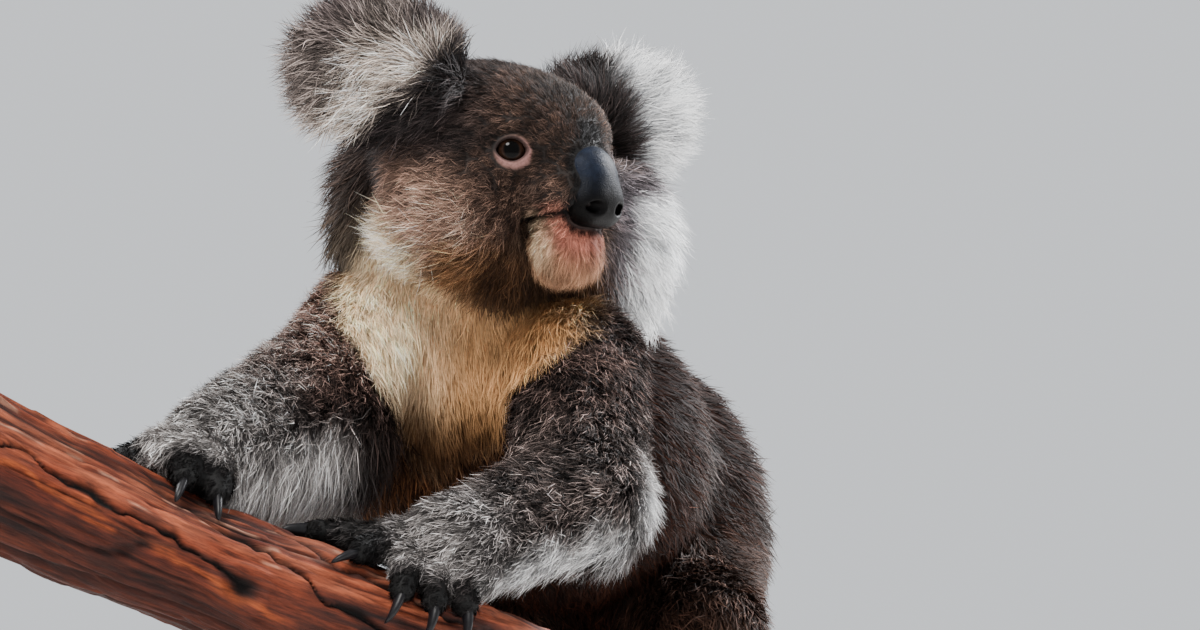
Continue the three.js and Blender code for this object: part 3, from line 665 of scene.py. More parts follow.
for name, amount, lean in (("ear_right", corner, (1.3, 0, 0.8)), ("ear_right", cupped, (-0.3, 0, -0.5)),
                           ("ear_right", top, (0.15, 0, 0.9)), ("ear_left", far, (-0.5, 0, 1.2))):
    flows[name] = flows[name] + amount[:, None] * vec(*lean)
flow = sum(share[name][:, None] * unit(flows[name]) for name in share)
flow = flow - dot(flow, normals)[:, None] * normals
flow = unit(flow + 1e-4)

# Length and width of the tufts, how many to a square millimetre, how steeply they leave the skin (degrees),
# how much they stray and how uneven their tones are.
kinds = {
    "head": (6.5, 0.32, 3.4, 36, 0.36, 0.6), "ear": (18.0, 0.36, 5.5, 40, 0.32, 0.7),
    "neck": (21.0, 0.42, 3.3, 36, 0.28, 0.5), "trunk": (15.0, 0.66, 1.16, 36, 0.34, 0.55),
    "arm": (9.0, 0.36, 4.4, 46, 0.46, 1.0), "leg": (12.0, 0.64, 1.5, 36, 0.36, 0.55),
    "hand": (5.0, 0.42, 2.4, 30, 0.34, 0.6), "foot": (5.0, 0.5, 1.6, 28, 0.3, 0.4),
}
coatOf = sum(share[name][:, None] * vec(*kinds[name.split("_")[0]]) for name in share)
length, width, density, lift, stray, speckle = coatOf.T
x, y, z = points.T


def spotAt(where, centre, radii, low=0.6, high=1.1, uneven=0):  # 1 in an egg-shaped patch, 0 outside it
    away = np.linalg.norm((where - vec(*centre)) / vec(*radii), axis=1) + uneven
    return fade(away, low, high)


ofHead, ofNeck, ofTrunk = share["head"], share["neck"], share["trunk"]
ofArmRight, ofArmLeft = share["arm_right"], share["arm_left"]
onFace = ofHead * ramp(q[:, 0], -6, 22)
cheek = ofHead * ramp(-q[:, 2], 2, 22) * ramp(np.abs(q[:, 1]), 14, 34) * fade(q[:, 0], 20, 36)
crown = ofHead * fade(q[:, 0], -14, 14)
beard = ofHead * spotAt(q, (34, 0, -44), (22, 18, 11))
length = length * (1 - 0.42 * onFace) + 3.5 * crown + 8 * cheek + 5 * beard
width = width * (1 - 0.33 * onFace) * (1 - 0.15 * cheek) + 0.05 * crown
density = density * (1 + 1.2 * onFace) * (1 + 0.35 * cheek)
stray = stray + 0.08 * onFace + 0.04 * cheek
speckle = speckle + 0.15 * cheek + 0.15 * onFace
chinHair = ofHead * spotAt(q, (38, -1, -38), (21, 18, 15))
width = width * (1 - 0.4 * chinHair)
density = density * (1 + 0.8 * chinHair)
speckle = speckle * (1 - 0.35 * chinHair)
stray = stray * (1 - 0.45 * chinHair)
earTop = share["ear_right"] * ramp(earUp["right"], 6, 20)
earTip = share["ear_right"] * ramp(earAt["right"][:, 0], 20, 28) * ramp(earUp["right"], 2, 12)
length = length * (1 - 0.42 * earTop) * (1 - 0.2 * earTip)

# The pale bib lies between the arms: past its side in x, over its foot and under the jawline in z. Its hair
# is long and straight and hangs down.
bounds = {
    # x over z
    "bibSide": ([-54, -36, -24, -6, 6, 36, 54], [-76, -89, -97, -108, -110, -105, -101]),
    "darkNape": ([6, 26, 39, 52, 64], [-103, -99, -96, -90, -85]),
    # z over x
    "bibFoot": ([-76, -62, -47, -34, -17, 1], [-60, -52, -43, -27, -14, -6]),
    "shadeUnderJaw": ([-82, -64, -52, -34, -17, 0, 17], [46, 17, 8.6, 6.5, 4.3, 6.5, 10.7]),
    "creamTop": ([-100, -92, -73, -60, -50], [50, 46, 32, 13, 2]),
    "armFoot": ([-66, -45, -17, 8, 22, 30], [-132, -119, -104, -94, -80, -58]),
}
bibHair = {"length": 15, "width": 0.36, "density": 6.0, "lift": 26}
bibSide, darkNape = (np.interp(z, *bounds[name]) for name in ("bibSide", "darkNape"))
bibFoot, jawLine, creamTop, armFoot = (np.interp(x, *bounds[name])
                                       for name in ("bibFoot", "shadeUnderJaw", "creamTop", "armFoot"))
ragged = 9 * wander(points, 12, 71) + 5 * wander(points, 5, 73)  # mm, for uneven edges
bibWobble = 0.35 * ragged
front = ramp(-y, -48, -10)
bib = front * ramp(x - bibSide + bibWobble, -3, 3) * ramp(z - bibFoot + bibWobble, -3, 3)
bib = bib * fade(x, -20, 2) * (1 - ofHead - share["ear_right"] - share["ear_left"])
bib = bib * fade(z, 50, 62) * (1 - ramp(z - jawLine, 3, 12) * ramp(x, -64, -50))
# Long pale fringes edge the left arm's outer side and hang under the right arm.
outerEdge = ramp(normals[:, 0] + 0.01 * ragged, 0.7, 1.0) * ramp(-z, 46, 84)
down = -normals[:, 2]
lowerEdge = ramp(down + 0.015 * ragged, 0.1, 0.75) * fade(down, 0.84, 0.96) * ramp(-z, 60, 84)
fringe = ofArmLeft * np.maximum(outerEdge, lowerEdge)
under = ofArmRight * ramp(down, -0.1, 0.4) * ramp(-z, 30, 50)
smooth = bib * (1 - ofNeck * 0.3)
longer = under * (14 + 10 * ramp(-z, 50, 70))
length = length * (1 - smooth) + bibHair["length"] * smooth + 4 * fringe + longer
width = width * (1 - smooth) + bibHair["width"] * smooth
density = density * (1 - smooth) + bibHair["density"] * smooth
lift = lift * (1 - smooth) + bibHair["lift"] * smooth
tidyHair = 1 - 0.5 * np.maximum(fringe, under)
stray = stray * (1 - 0.65 * smooth) * tidyHair
speckle = speckle * (1 - 0.7 * smooth) * tidyHair
flow = flow + (smooth * 0.9)[:, None] * vec(0.15, 0, -1) + (under * 2.0)[:, None] * vec(0.1, 0, -1)
flow = flow + (beard * 1.5)[:, None] * vec(-0.2, 0, -1)
flow = unit(flow - dot(flow, normals)[:, None] * normals)

# Markings: the colours of a tuft at its root and its tip.
fur = {
    "face": (linear(14, 10, 8), linear(74, 58, 50)),
    "brow": (linear(10, 8, 7), linear(48, 38, 32)),
    "crown": (linear(9, 7, 7), linear(54, 46, 44)),
    "cheek": (linear(30, 21, 16), linear(156, 124, 108)),
    "neck": (linear(50, 34, 24), linear(176, 142, 116)),
    "shadeUnderJaw": (linear(18, 11, 7), linear(46, 30, 19)),
    "chin": (linear(122, 82, 60), linear(182, 138, 108)),
    "pink": (linear(140, 86, 72), linear(174, 110, 94)),
    "black": (linear(5, 4, 4), linear(20, 17, 17)),
    "cream": (linear(238, 200, 160), linear(255, 232, 194)),
    "buff": (linear(172, 124, 80), linear(224, 172, 120)),
    "buffInPaintedShade": (linear(112, 78, 46), linear(170, 124, 80)),
    "shadedBelly": (linear(26, 15, 9), linear(82, 54, 34)),
    "white": (linear(226, 228, 232), linear(255, 255, 255)),
    "ear": (linear(78, 64, 56), linear(236, 218, 203)),
    "rim": (linear(10, 8, 8), linear(78, 69, 69)),
    "grey": (linear(10, 8, 8), linear(80, 71, 68)),
    "warmGrey": (linear(24, 16, 13), linear(142, 114, 104)),
    "paleGrey": (linear(92, 86, 84), linear(222, 216, 212)),
    "brown": (linear(9, 4, 3), linear(46, 26, 17)),
    "rump": (linear(16, 10, 9), linear(78, 58, 49)),
    "paw": (linear(10, 9, 9), linear(92, 86, 86)),
    "under": (linear(70, 48, 32), linear(138, 102, 74)),
    "lid": (linear(140, 100, 94), linear(150, 110, 104)),
    "farGrey": (linear(30, 27, 28), linear(116, 108, 112)),
}
ground = {"head": "face", "ear_right": "grey", "ear_left": "grey", "neck": "grey", "trunk": "brown",
          "arm_right": "grey", "arm_left": "grey", "leg_right": "rump", "leg_left": "rump",
          "hand_right": "paw", "hand_left": "paw", "foot_right": "paw", "foot_left": "paw"}
rootColour = sum(share[k][:, None] * fur[ground[k]][0] for k in share)
tipColour = sum(share[k][:, None] * fur[ground[k]][1] for k in share)
patchy = wander(points, 26, 3) * 0.5 + wander(points, 11, 5) * 0.3


def painted(name, amount):
    global rootColour, tipColour
    amount = np.clip(amount, 0, 1)
    rootColour = mixed(rootColour, fur[name][0], amount)
    tipColour = mixed(tipColour, fur[name][1], amount)


def spot(where, centre, radii, soft=0.35):  # a patch with a soft, uneven edge
    return spotAt(where, centre, radii, 1 - soft, 1 + soft, 0.1 * patchy)


ofHeadAndNeck = ofHead + ofNeck


def headPatch(colour, amount, middle, radii, soft=0.35, of=ofHead):  # an egg-shaped patch in the head's frame
    painted(colour, amount * of * spot(q, middle, radii, soft))


# the head, from its top to its cheeks, and the dark bridge over the nose
headPatch("brow", 1, (20, 0, 30), (30, 17, 22))
headPatch("crown", 1, (-18, 0, 34), (34, 60, 30), 0.5)
for s in bothSides:
    headPatch("cheek", 1, (-18, 50 * s, -20), (35, 27, 28), 0.4, of=ofHeadAndNeck)
    headPatch("black", 0.65, (-2, 46 * s, 34), (16, 16, 14), 0.4)
    headPatch("black", 0.75, (12, 38 * s, 8), (12, 10, 5), 0.5)
    headPatch("brow", 0.8, (38, 15 * s, 3), (10, 6, 9), 0.5)
# painted shadow under the chin
headPatch("shadeUnderJaw", 1, (26, 0, -44), (24, 22, 13), 0.4, of=ofHeadAndNeck)
for s in bothSides:
    headPatch("pink", 0.45, (42, 13 * s, -18.5), (6, 6, 3), 0.5)
headPatch("black", 1, (45, 0, 11), (11, 11, 7), 0.4)

# neck, nape and bib, which darkens from cream at its side to brown at its foot; its gold is its own colour,
# while the darker buff at its right and low and the brown at its foot are painted shade
painted("crown", ofNeck * (1 - front))
facing = ramp(-normals[:, 1], -0.35, 0.1)
painted("neck", ofNeck * front * facing)
painted("crown", ofNeck * ramp(z, 66, 80) * ramp(-x, 40, 55))
headPatch("crown", 0.75, (2, -42, 15), (20, 16, 15), 0.4, of=ofHeadAndNeck)
paleCheek = front * facing * ofHeadAndNeck * ramp(creamTop - z + 0.5 * ragged, -7, 7)
painted("cream", np.maximum(bib, paleCheek * fade(x, -58, -46)))
painted("crown", 0.95 * ofHeadAndNeck * fade(x - darkNape + 0.3 * ragged, -5, 5) * ramp(z, -6, 8))
painted("buff", bib * ramp(x + 0.5 * ragged, -92, -54))
# painted shade: darker buff over the bib's right part and its lower part
painted("buffInPaintedShade", 0.8 * bib * ramp(x, -54, -6))
painted("buffInPaintedShade", bib * ramp(-z, 16, 44) * 0.9)
# painted shade: dark brown over the trunk's front beside the bib, and over the bib's foot
painted("shadedBelly", ofTrunk * ramp(-y, -60, -20) * (1 - bib))
painted("shadedBelly", bib * ramp(-z, 20, 50))

# throat, far cheek, chin and the edges of nose and mouth
beyond = ramp(q[:, 1], 26, 42)
throat = ofHeadAndNeck * front * ramp(z - jawLine + 0.4 * ragged, -4, 4) * ramp(-q[:, 2], 28, 38)
throat = throat * (1 - beyond)
painted("under", throat * ramp(x, -70, -58))
# painted shadow under the cheek, along the throat
painted("shadeUnderJaw", 0.85 * throat * ramp(x, -54, -44))
painted("farGrey", ofHeadAndNeck * ramp(x, -6, 5) * fade(z, 58, 74))
# partly pale fur and partly painted backlight: the far side of head and neck turns white towards its edge
painted("white", ofHeadAndNeck * ramp(x - 0.3 * (z - 20) + 0.3 * ragged, -1, 9) * fade(z, 66, 82))
headPatch("chin", 1, (37, -1, -37), (19, 15, 13), 0.45)
headPatch("pink", 1, (45, -4, -30), (13, 14, 9.5), 0.45)
for s in bothSides:
    headPatch("cream", 0.3, (32, 17 * s, -37), (9, 5, 14), 0.5)
atNose = noseForm(q)
painted("black", 0.95 * ofHead * fade(atNose, 0.8, 2.4))
painted("black", 0.95 * ofHead * fade(mouthGap(q), 0.6, 2.1))

# arms, outside the bib
outside = 1 - bib
wristward = ramp(-x + 0.5 * ragged, 114, 162)
painted("warmGrey", ofArmRight * ramp(z, -40, -14) * outside)
painted("brown", 0.55 * ofArmRight * (1 - wristward) * fade(z, -34, -10) * outside)
painted("brown", 0.55 * ofArmLeft * ramp(z, -62, -24) * outside)
painted("black", 0.1 * ofArmLeft * outside)
# painted rim light: a little pale grey on the back of the trunk where it turns to the right
painted("paleGrey", 0.1 * ofTrunk * ramp(normals[:, 0], 0.86, 0.99) * ramp(y, 90, 140))
painted("paleGrey", 0.48 * ofArmRight * wristward * outside)
painted("paleGrey", under * ramp(-x, 98, 116) * outside)
# painted shadow: black where the right arm's pale underside meets the body
painted("black", 0.35 * under * fade(-x, 96, 112) * outside)
painted("paleGrey", 0.16 * ofArmLeft * ramp(-x, 40, 70) * outside)
painted("paleGrey", 0.8 * fringe * outside)
painted("white", 0.6 * fringe ** 2 * outside)
# painted shade: dark brown on the left forearm below its foot line, like the shaded body behind it
painted("brown", ofArmLeft * ramp(armFoot - z + 0.3 * ragged, -1, 7))

# the trunk's underside and legs: brown in front as painted shade where they face down, a white patch under
# the rump
shadedBelly = (ofTrunk + share["leg_right"] + share["leg_left"]) * ramp(down, 0.35, 0.85) * outside
painted("brown", 0.8 * shadedBelly * fade(y, 150, 190))
painted("white", 0.8 * shadedBelly * ramp(y, 160, 200))
painted("paleGrey", 0.6 * (share["leg_right"] + share["leg_left"]) * ramp(y, 205, 240) * (0.6 + patchy))

# ears: the right one is pale in its cup with a dark rim, the left one dark near the head and white beyond
for side in ears:
    outwards, upwards = earAt[side][:, 0] + 0.3 * ragged, earUp[side]
    mine = share[f"ear_{side}"]
    painted("rim", mine)
    if side == "right":
        fromRoot = outwards + 21 + 0.87 * upwards
        tipDark = 0.88 * ramp(outwards + 0.5 * ragged, 7, 18)
        topDark = 0.85 * ramp(upwards + 0.4 * ragged, 5, 14)
        painted("ear", mine * ramp(fromRoot, -3, 5) * (1 - tipDark) * (1 - topDark))
        painted("black", mine * fade(fromRoot, -6, 4))
        painted("rim", 0.9 * mine * ramp(-outwards, 4, 15) * ramp(upwards, 2, 13))
    else:
        nearHead = fade(outwards, -13, -4)
        painted("crown", mine * nearHead)
        painted("black", 0.4 * mine * nearHead)
        painted("white", mine * ramp(outwards, -11, -2))

# hands and feet: short black hair towards the claws
for name, paw in paws.items():
    ends = [digitPoints(paw, d)[2] for d in paw["digits"]]
    reach = np.min([np.linalg.norm(points - end, axis=1) for end in ends], axis=0) + 0.3 * ragged
    bareEnd = paw["bareEnd"]
    if "pale" in paw:
        painted("paleGrey", paw["pale"] * share[name] * ramp(reach, bareEnd, bareEnd + 12))
    painted("black", share[name] * fade(reach, bareEnd, bareEnd + 8))
    atEnd = share[name] * fade(reach, bareEnd - 2, bareEnd + 6)
    length = length * (1 - 0.5 * atEnd)
digitBase = fade(np.hypot((x + 99) / 14, (z + 97) / 17), 0.7, 1.2)  # of the left hand's first two digits
painted("black", 0.85 * (share["hand_left"] + ofArmLeft) * digitBase)

# bare skin: lids with a dark inner edge, a little of the chin, the mouth line and the nose's seat
bare = np.zeros(len(points))
for s in bothSides:
    edge, a, b = eyeSpot(q, s)
    atEye = edge < lids["off"]
    (noseward, upward), (wide, tall) = lids["bareMiddle"], lids["bareRadii"]
    ring = np.sqrt(((a - noseward) / wide) ** 2 + ((b - upward) / tall) ** 2)
    painted("black", np.where(atEye, 0.9 * bump(a, -8, 4) * bump(b, 5, 4), 0))
    painted("lid", np.where(atEye, fade(ring, 0.82, 1.12), 0) * (0.4 + 0.6 * ramp(0.4 * a - b, -4, 4)))
    painted("black", np.where(atEye, fade(edge, 0.2, 1.0), 0) * 0.8)
    bare = np.maximum(bare, np.where(atEye, fade(ring, 0.95, 1.25), 0))
bare = np.maximum(bare, 0.3 * spot(q, (48, -4, -29), (9, 9, 6), 0.4))
bare = np.maximum(bare, bump(mouthGap(q), 0, 1.0))
bare = np.maximum(bare, fade(atNose, -0.8, 0.4))
density = density * fade(bare, 0.25, 0.6)
report("markings done")


def material(name, **values):  # a Principled material and the means to add nodes to it
    made = bpy.data.materials.new(name)
    made.use_nodes = True
    shader = made.node_tree.nodes["Principled BSDF"]
    for key, value in values.items():
        socket = shader.inputs[key.replace("_", " ").title().replace("Ior", "IOR")]
        socket.default_value = value
    return made, made.node_tree, shader


def node(tree, kind, **values):
    made = tree.nodes.new(kind)
    for key, value in values.items():
        if key == "inputs":
            for socket, v in value.items():
                made.inputs[socket].default_value = v
        else:
            setattr(made, key, value)
    return made


def link(tree, a, b):
    tree.links.new(a, b)


def noise(tree, scale, detail, rough=0.6, stretch=None, place=None, distortion=0.0):
    # noise on Object coordinates, or on another place, stretched if asked
    if place is None:
        place = node(tree, "ShaderNodeTexCoord").outputs["Object"]
    if stretch:
        mapping = node(tree, "ShaderNodeMapping", inputs={"Scale": stretch})
        link(tree, place, mapping.inputs["Vector"])
        place = mapping.outputs["Vector"]
    values = {"Scale": scale, "Detail": detail, "Roughness": rough, "Distortion": distortion}
    made = node(tree, "ShaderNodeTexNoise", inputs=values)
    link(tree, place, made.inputs["Vector"])
    return made.outputs["Fac"]


def remap(tree, value, low, high, newLow, newHigh):
    made = node(tree, "ShaderNodeMapRange", inputs={1: low, 2: high, 3: newLow, 4: newHigh})
    link(tree, value, made.inputs[0])
    return made.outputs[0]


def scaled(tree, colour, factor):  # a colour, or a socket that carries one, multiplied by a value
    made = node(tree, "ShaderNodeVectorMath", operation="SCALE")
    if isinstance(colour, tuple):
        made.inputs[0].default_value = colour
    else:
        link(tree, colour, made.inputs[0])
    link(tree, factor, made.inputs["Scale"])
    return made.outputs[0]


def blended(tree, first, second, factor):  # two colours, or sockets that carry them, mixed by a value
    made = node(tree, "ShaderNodeMix", data_type="RGBA")
    for key, colour in (("A", first), ("B", second)):
        if isinstance(colour, tuple):
            made.inputs[key].default_value = colour
        else:
            link(tree, colour, made.inputs[key])
    link(tree, factor, made.inputs["Factor"])
    return made.outputs["Result"]


def toned(tree, factor, stops):  # a colour ramp: each stop is a place and a colour
    made = node(tree, "ShaderNodeValToRGB")
    elements = made.color_ramp.elements
    for k, (place, colour) in enumerate(stops):
        stop = elements[k] if k < 2 else elements.new(place)
        stop.position, stop.color = place, (*colour, 1)
    link(tree, factor, made.inputs["Fac"])
    return made.outputs["Color"]


def bumped(tree, shader, height, strength, distance):
    made = node(tree, "ShaderNodeBump", inputs={"Strength": strength, "Distance": distance})
    link(tree, height, made.inputs["Height"])
    link(tree, made.outputs["Normal"], shader.inputs["Normal"])


def attribute(tree, name, output="Fac"):
    return node(tree, "ShaderNodeAttribute", attribute_name=name).outputs[output]


skinLook, tree, shader = material("koala_skin", roughness=0.72, specular_ior_level=0.25)
colour = attribute(tree, "coatColour", "Color")
uneven = remap(tree, noise(tree, 900, 4), 0.3, 0.7, 0.75, 1.2)
link(tree, scaled(tree, colour, uneven), shader.inputs["Base Color"])
bumped(tree, shader, noise(tree, 1400, 4), 0.35, 0.0006)

coatLook, tree, shader = material("koala_fur", roughness=0.7, specular_ior_level=0.16)
colour = attribute(tree, "coatColour", "Color")
uneven = remap(tree, noise(tree, 420, 2), 0.3, 0.7, 0.86, 1.12)
link(tree, scaled(tree, colour, uneven), shader.inputs["Base Color"])

# The skin piece is unwrapped first, as each tuft's patch of the map lies at its root's place on the skin.
flesh = ["head", "ear_left", "ear_right", "neck", "chest", "loin", "rump"]
for part in ("upper_arm", "forearm", "hand", "thigh", "shank", "foot"):
    flesh += [f"{part}_left", f"{part}_right"]
skinColour = mixed(rootColour * 0.9, tipColour, 0.15 + 0.75 * ramp(bare, 0.3, 0.9))
skinPiece = meshPiece("skin", points, triangles, skinLook, flesh, skinColour)
bpy.context.view_layer.objects.active = skinPiece
for other in bpy.context.selected_objects:
    other.select_set(False)
skinPiece.select_set(True)
skinPiece.data.uv_layers.new(name="OFBake")
bpy.ops.object.mode_set(mode="EDIT")
bpy.ops.mesh.select_all(action="SELECT")
bpy.ops.uv.smart_project(angle_limit=1.1, island_margin=0.002)
bpy.ops.object.mode_set(mode="OBJECT")
skinUv = np.zeros(len(triangles) * 6, np.float32)
skinPiece.data.uv_layers["OFBake"].data.foreach_get("uv", skinUv)
skinUv = skinUv.reshape(-1, 3, 2)
report("skin unwrapped")

# The coat is solid tufts: flat, bent and tapering, each on its own patch of the map.
coat = {
    "clumpSize": 5.5, "clumping": 0.5, "sunk": 0.4, "patch": 0.003,
    "length": (0.6, 0.8), "width": (0.75, 0.5), "lift": (0.8, 0.5),  # the least, and how much more
    "shortLayer": 0.68, "taper": 0.25, "roll": 0.5, "bend": 1.2, "tone": 0.55,
    "pale": (0.33, 3.0), "dark": (0.6, 0.75),  # of the tips: below or above which draw, and how much
    "mostTriangles": 190000, "limit": 200000,
}


def clumpPull(p, size, seed):  # towards the nearest of a set of scattered points, one to each lattice cell
    base = np.floor(p / size).astype(np.int64)
    best = np.full(len(p), 1e9)
    pull = np.zeros_like(p)
    for offset in np.ndindex(3, 3, 3):
        cell = base + np.array(offset) - 1
        centre = (cell + np.stack([hashed(cell, seed + k) for k in range(3)], axis=1)) * size
        away = centre - p
        far = dot(away, away)
        closer = far < best
        best[closer] = far[closer]
        pull[closer] = away[closer]
    return pull


def growCoat(name, chosen, segments, portion):
    # Roots are spread over the chosen triangles by density. Tufts bend from steep to flat along the flow.
    weight = (density[triangles[chosen]].mean(axis=1)) * areas[chosen]
    count = int(weight.sum() * portion)
    step = weight.sum() / count
    marks = (np.arange(count) + random.random(count)) * step
    face = chosen[np.minimum(np.searchsorted(np.cumsum(weight), marks), len(chosen) - 1)]
    bary = random.random((count, 2))
    over = bary.sum(axis=1) > 1
    bary[over] = 1 - bary[over]
    bary = np.concatenate([1 - bary.sum(axis=1, keepdims=True), bary], axis=1)
    corners = triangles[face]

    def carried(values):
        return np.einsum("ij,ij...->i...", bary, values[corners])

    def drawn(values):  # the least value, and a random part of how much more
        least, more = values
        return least + more * random.random(count)

    root, up, lie = carried(points), unit(carried(normals)), carried(flow)
    uv = np.einsum("ij,ijk->ik", bary, skinUv[face])
    rootTint, tipTint = carried(rootColour), carried(tipColour)
    reach = carried(length) * drawn(coat["length"]) * (1 + 0.18 * wander(root, 14, 11))
    reach = reach * (coat["shortLayer"] if segments == 1 else 1)
    girth = carried(width) * drawn(coat["width"])
    steep = np.radians(carried(lift) * drawn(coat["lift"]))
    messy = carried(stray)[:, None]
    locks = 1.3 * wander3(root, 6, 21) + 0.6 * wander3(root, 24, 31)
    lie = lie + messy * (locks + 0.75 * random.normal(size=(count, 3)))
    lie = unit(lie - dot(lie, up)[:, None] * up)
    pull = clumpPull(root, coat["clumpSize"], 51)
    pull = pull - dot(pull, up)[:, None] * up
    across = np.cross(up, lie)
    roll = random.normal(size=count) * coat["roll"]
    across = across * np.cos(roll)[:, None] + up * np.sin(roll)[:, None]
    bend = random.normal(size=count) * coat["bend"] * messy[:, 0]
    at = root - up * coat["sunk"]
    rows = [at]
    for k in range(segments):
        u = (k + 0.5) / segments
        angle = steep * (1.25 - 1.1 * u)
        turned = unit(lie + across * (bend * (2 * u - 0.6))[:, None])
        way = turned * np.cos(angle)[:, None] + up * np.sin(angle)[:, None]
        at = at + way * (reach / segments)[:, None]
        rows.append(at + pull * (coat["clumping"] * ((k + 1) / segments) ** 1.2))
    vertices, tints, patches = [], [], []
    uneven = carried(speckle)
    tone = random.normal(size=count) * coat["tone"] + 1.1 * wander(root, 3.5, 81) + 0.7 * wander(root, 9, 83)
    light = np.exp(uneven * tone)
    tipped = random.random(count)
    (paleBelow, palePart), (darkAbove, darkPart) = coat["pale"], coat["dark"]
    darkTips = np.where(tipped > darkAbove, 1 - darkPart * uneven, 1)
    tipGain = np.where(tipped < paleBelow, 1 + palePart * uneven ** 2, darkTips)
    for k, row in enumerate(rows):
        u = k / segments
        shade = mixed(rootTint, tipTint * tipGain[:, None], np.full(count, u)) * light[:, None]
        sides = (0,) if k == segments else (-0.5, 0.5)
        for side in sides:
            spread = girth * (1 - coat["taper"] * u) * side
            vertices.append(row + across * spread[:, None])
            tints.append(shade)
            patches.append(uv + coat["patch"] * np.array([side * (1 - 0.5 * u), u - 0.5]))
    pointsEach = len(vertices)
    vertices = np.stack(vertices, axis=1).reshape(-1, 3)
    tints = np.clip(np.stack(tints, axis=1).reshape(-1, 3), 0, 1)
    patches = np.clip(np.stack(patches, axis=1).reshape(-1, 2), 0, 1)
    pattern = []
    for k in range(segments - 1):
        a = 2 * k
        pattern += [(a, a + 1, a + 3), (a, a + 3, a + 2)]
    pattern.append((2 * segments - 2, 2 * segments - 1, 2 * segments))
    faces = (np.arange(count)[:, None, None] * pointsEach + np.array(pattern)[None]).reshape(-1, 3)
    if len(faces) > coat["limit"]:
        raise ValueError(f"{name} has {len(faces)} triangles")
    meshPiece(name, vertices, faces, coatLook, colour=tints, uv=patches)
    return len(faces)


names = list(share)
owner = np.argmax(np.stack([share[k] for k in names])[:, triangles].mean(axis=2), axis=0)
middles = points[triangles].mean(axis=1)
middleInHead = toHead(middles)
# For each piece of the coat: its body part, where on it, the bends of its longer tufts, the share of short
# straight tufts between them, and its slot.
groups = {
    "face": ("head", middleInHead[:, 0] > 10, 2, 0.6, "coat"),
    "crown": ("head", middleInHead[:, 0] <= 10, 2, 0.45, "coat"),
    "ear_right": ("ear_right", None, 3, 0.4, "pale_coat"),
    "ear_left": ("ear_left", None, 3, 0.4, "pale_coat"),
    "ruff": ("neck", None, 3, 0.45, "pale_coat"),
    "chest": ("trunk", middles[:, 1] < 40, 3, 0.45, "pale_coat"),
    "back": ("trunk", middles[:, 1] >= 40, 2, 0.45, "coat"),
    "arm_right": ("arm_right", None, 2, 0.62, "coat"),
    "arm_left": ("arm_left", None, 2, 0.62, "coat"),
    "leg_right": ("leg_right", None, 2, 0.45, "coat"),
    "leg_left": ("leg_left", None, 2, 0.45, "coat"),
    "hands": ("hand", None, 2, 0.5, "coat"),
    "feet": ("foot", None, 2, 0.5, "coat"),
}
coatTotal = 0
for name, (part, where, segments, short, slot) in groups.items():
    mine = np.isin(owner, [k for k, n in enumerate(names) if n.startswith(part)])
    mine = np.nonzero(mine & (where if where is not None else True))[0]
    mine = mine[np.argsort(middles[mine, 1], kind="stable")]
    tufts = np.cumsum(density[triangles[mine]].mean(axis=1) * areas[mine])
    for layer, bends, portion in (("", segments, 1 - short), ("_under", 1, short)):
        lots = int(math.ceil(tufts[-1] * portion * (2 * bends - 1) / coat["mostTriangles"]))
        for lot in range(lots):
            ours = mine[(tufts > tufts[-1] * lot / lots) & (tufts <= tufts[-1] * (lot + 1) / lots)]
            label = f"fur_{name}{layer}" if lots == 1 else f"fur_{name}{layer}_{lot + 1}"
            made = growCoat(label, ours, bends, portion)
            coatTotal += made
            print(f"  {label}: {made} triangles")
report(f"coat: {coatTotal} triangles")

# Eyes: a dark ball with a clear coat, the iris a little lighter than the pupil.
eyeball = {
    "cornea": 0.75, "corneaEdge": 42, "clearance": 0.1, "pole": 0.002, "rings": 40, "around": 56,
    "irisEdge": 60, "pupil": (3.5, 4.0),
    "tones": ((0.0, (0.006, 0.003, 0.002)), (0.6, (0.017, 0.008, 0.005)), (0.8, (0.004, 0.003, 0.002))),
}
eyeLook, tree, shader = material("koala_eye", roughness=0.4, specular_ior_level=0.0, coat_weight=0.5,
                                 coat_roughness=0.015, coat_ior=1.26)
gaze, slit = (attribute(tree, name) for name in ("iris", "pupil"))
fibres = remap(tree, noise(tree, 700, 3, 0.5), 0.3, 0.7, 0.6, 1.5)
shaded = scaled(tree, toned(tree, gaze, eyeball["tones"]), fibres)
link(tree, scaled(tree, shaded, remap(tree, slit, 0.85, 1.1, 0.05, 1.0)), shader.inputs["Base Color"])
for side, s in sideSigns.items():
    # A ball of rings round the gaze, with the cornea standing out as 1 - (angle / edge) squared.
    theta, phi = np.meshgrid(np.linspace(eyeball["pole"], math.pi - eyeball["pole"], eyeball["rings"]),
                             np.arange(eyeball["around"]) * 2 * math.pi / eyeball["around"], indexing="ij")
    cornea = eyeball["cornea"] * np.clip(1 - (np.degrees(theta) / eyeball["corneaEdge"]) ** 2, 0, 1)
    reach = eye["radius"] - eyeball["clearance"] + cornea
    out, inner, up = eyeAxes(s)
    a = (reach * np.sin(theta) * np.cos(phi)).ravel()
    b = (reach * np.sin(theta) * np.sin(phi)).ravel()
    c = (reach * np.cos(theta)).ravel()
    ball = eyeCentres[side] + (a[:, None] * inner + b[:, None] * up + c[:, None] * out) @ headAxes
    faces = sheetFaces(eyeball["rings"], eyeball["around"], True)
    if s > 0:
        faces = faces[:, ::-1]
    iris = np.clip(np.degrees(theta).ravel() / eyeball["irisEdge"], 0, 1)
    pupil = np.sqrt((a / eyeball["pupil"][0]) ** 2 + (b / eyeball["pupil"][1]) ** 2)
    meshPiece(f"eyeball_{side}", ball, faces[:, ::-1], eyeLook, [f"eye_{side}"],
              extra={"iris": iris, "pupil": pupil})

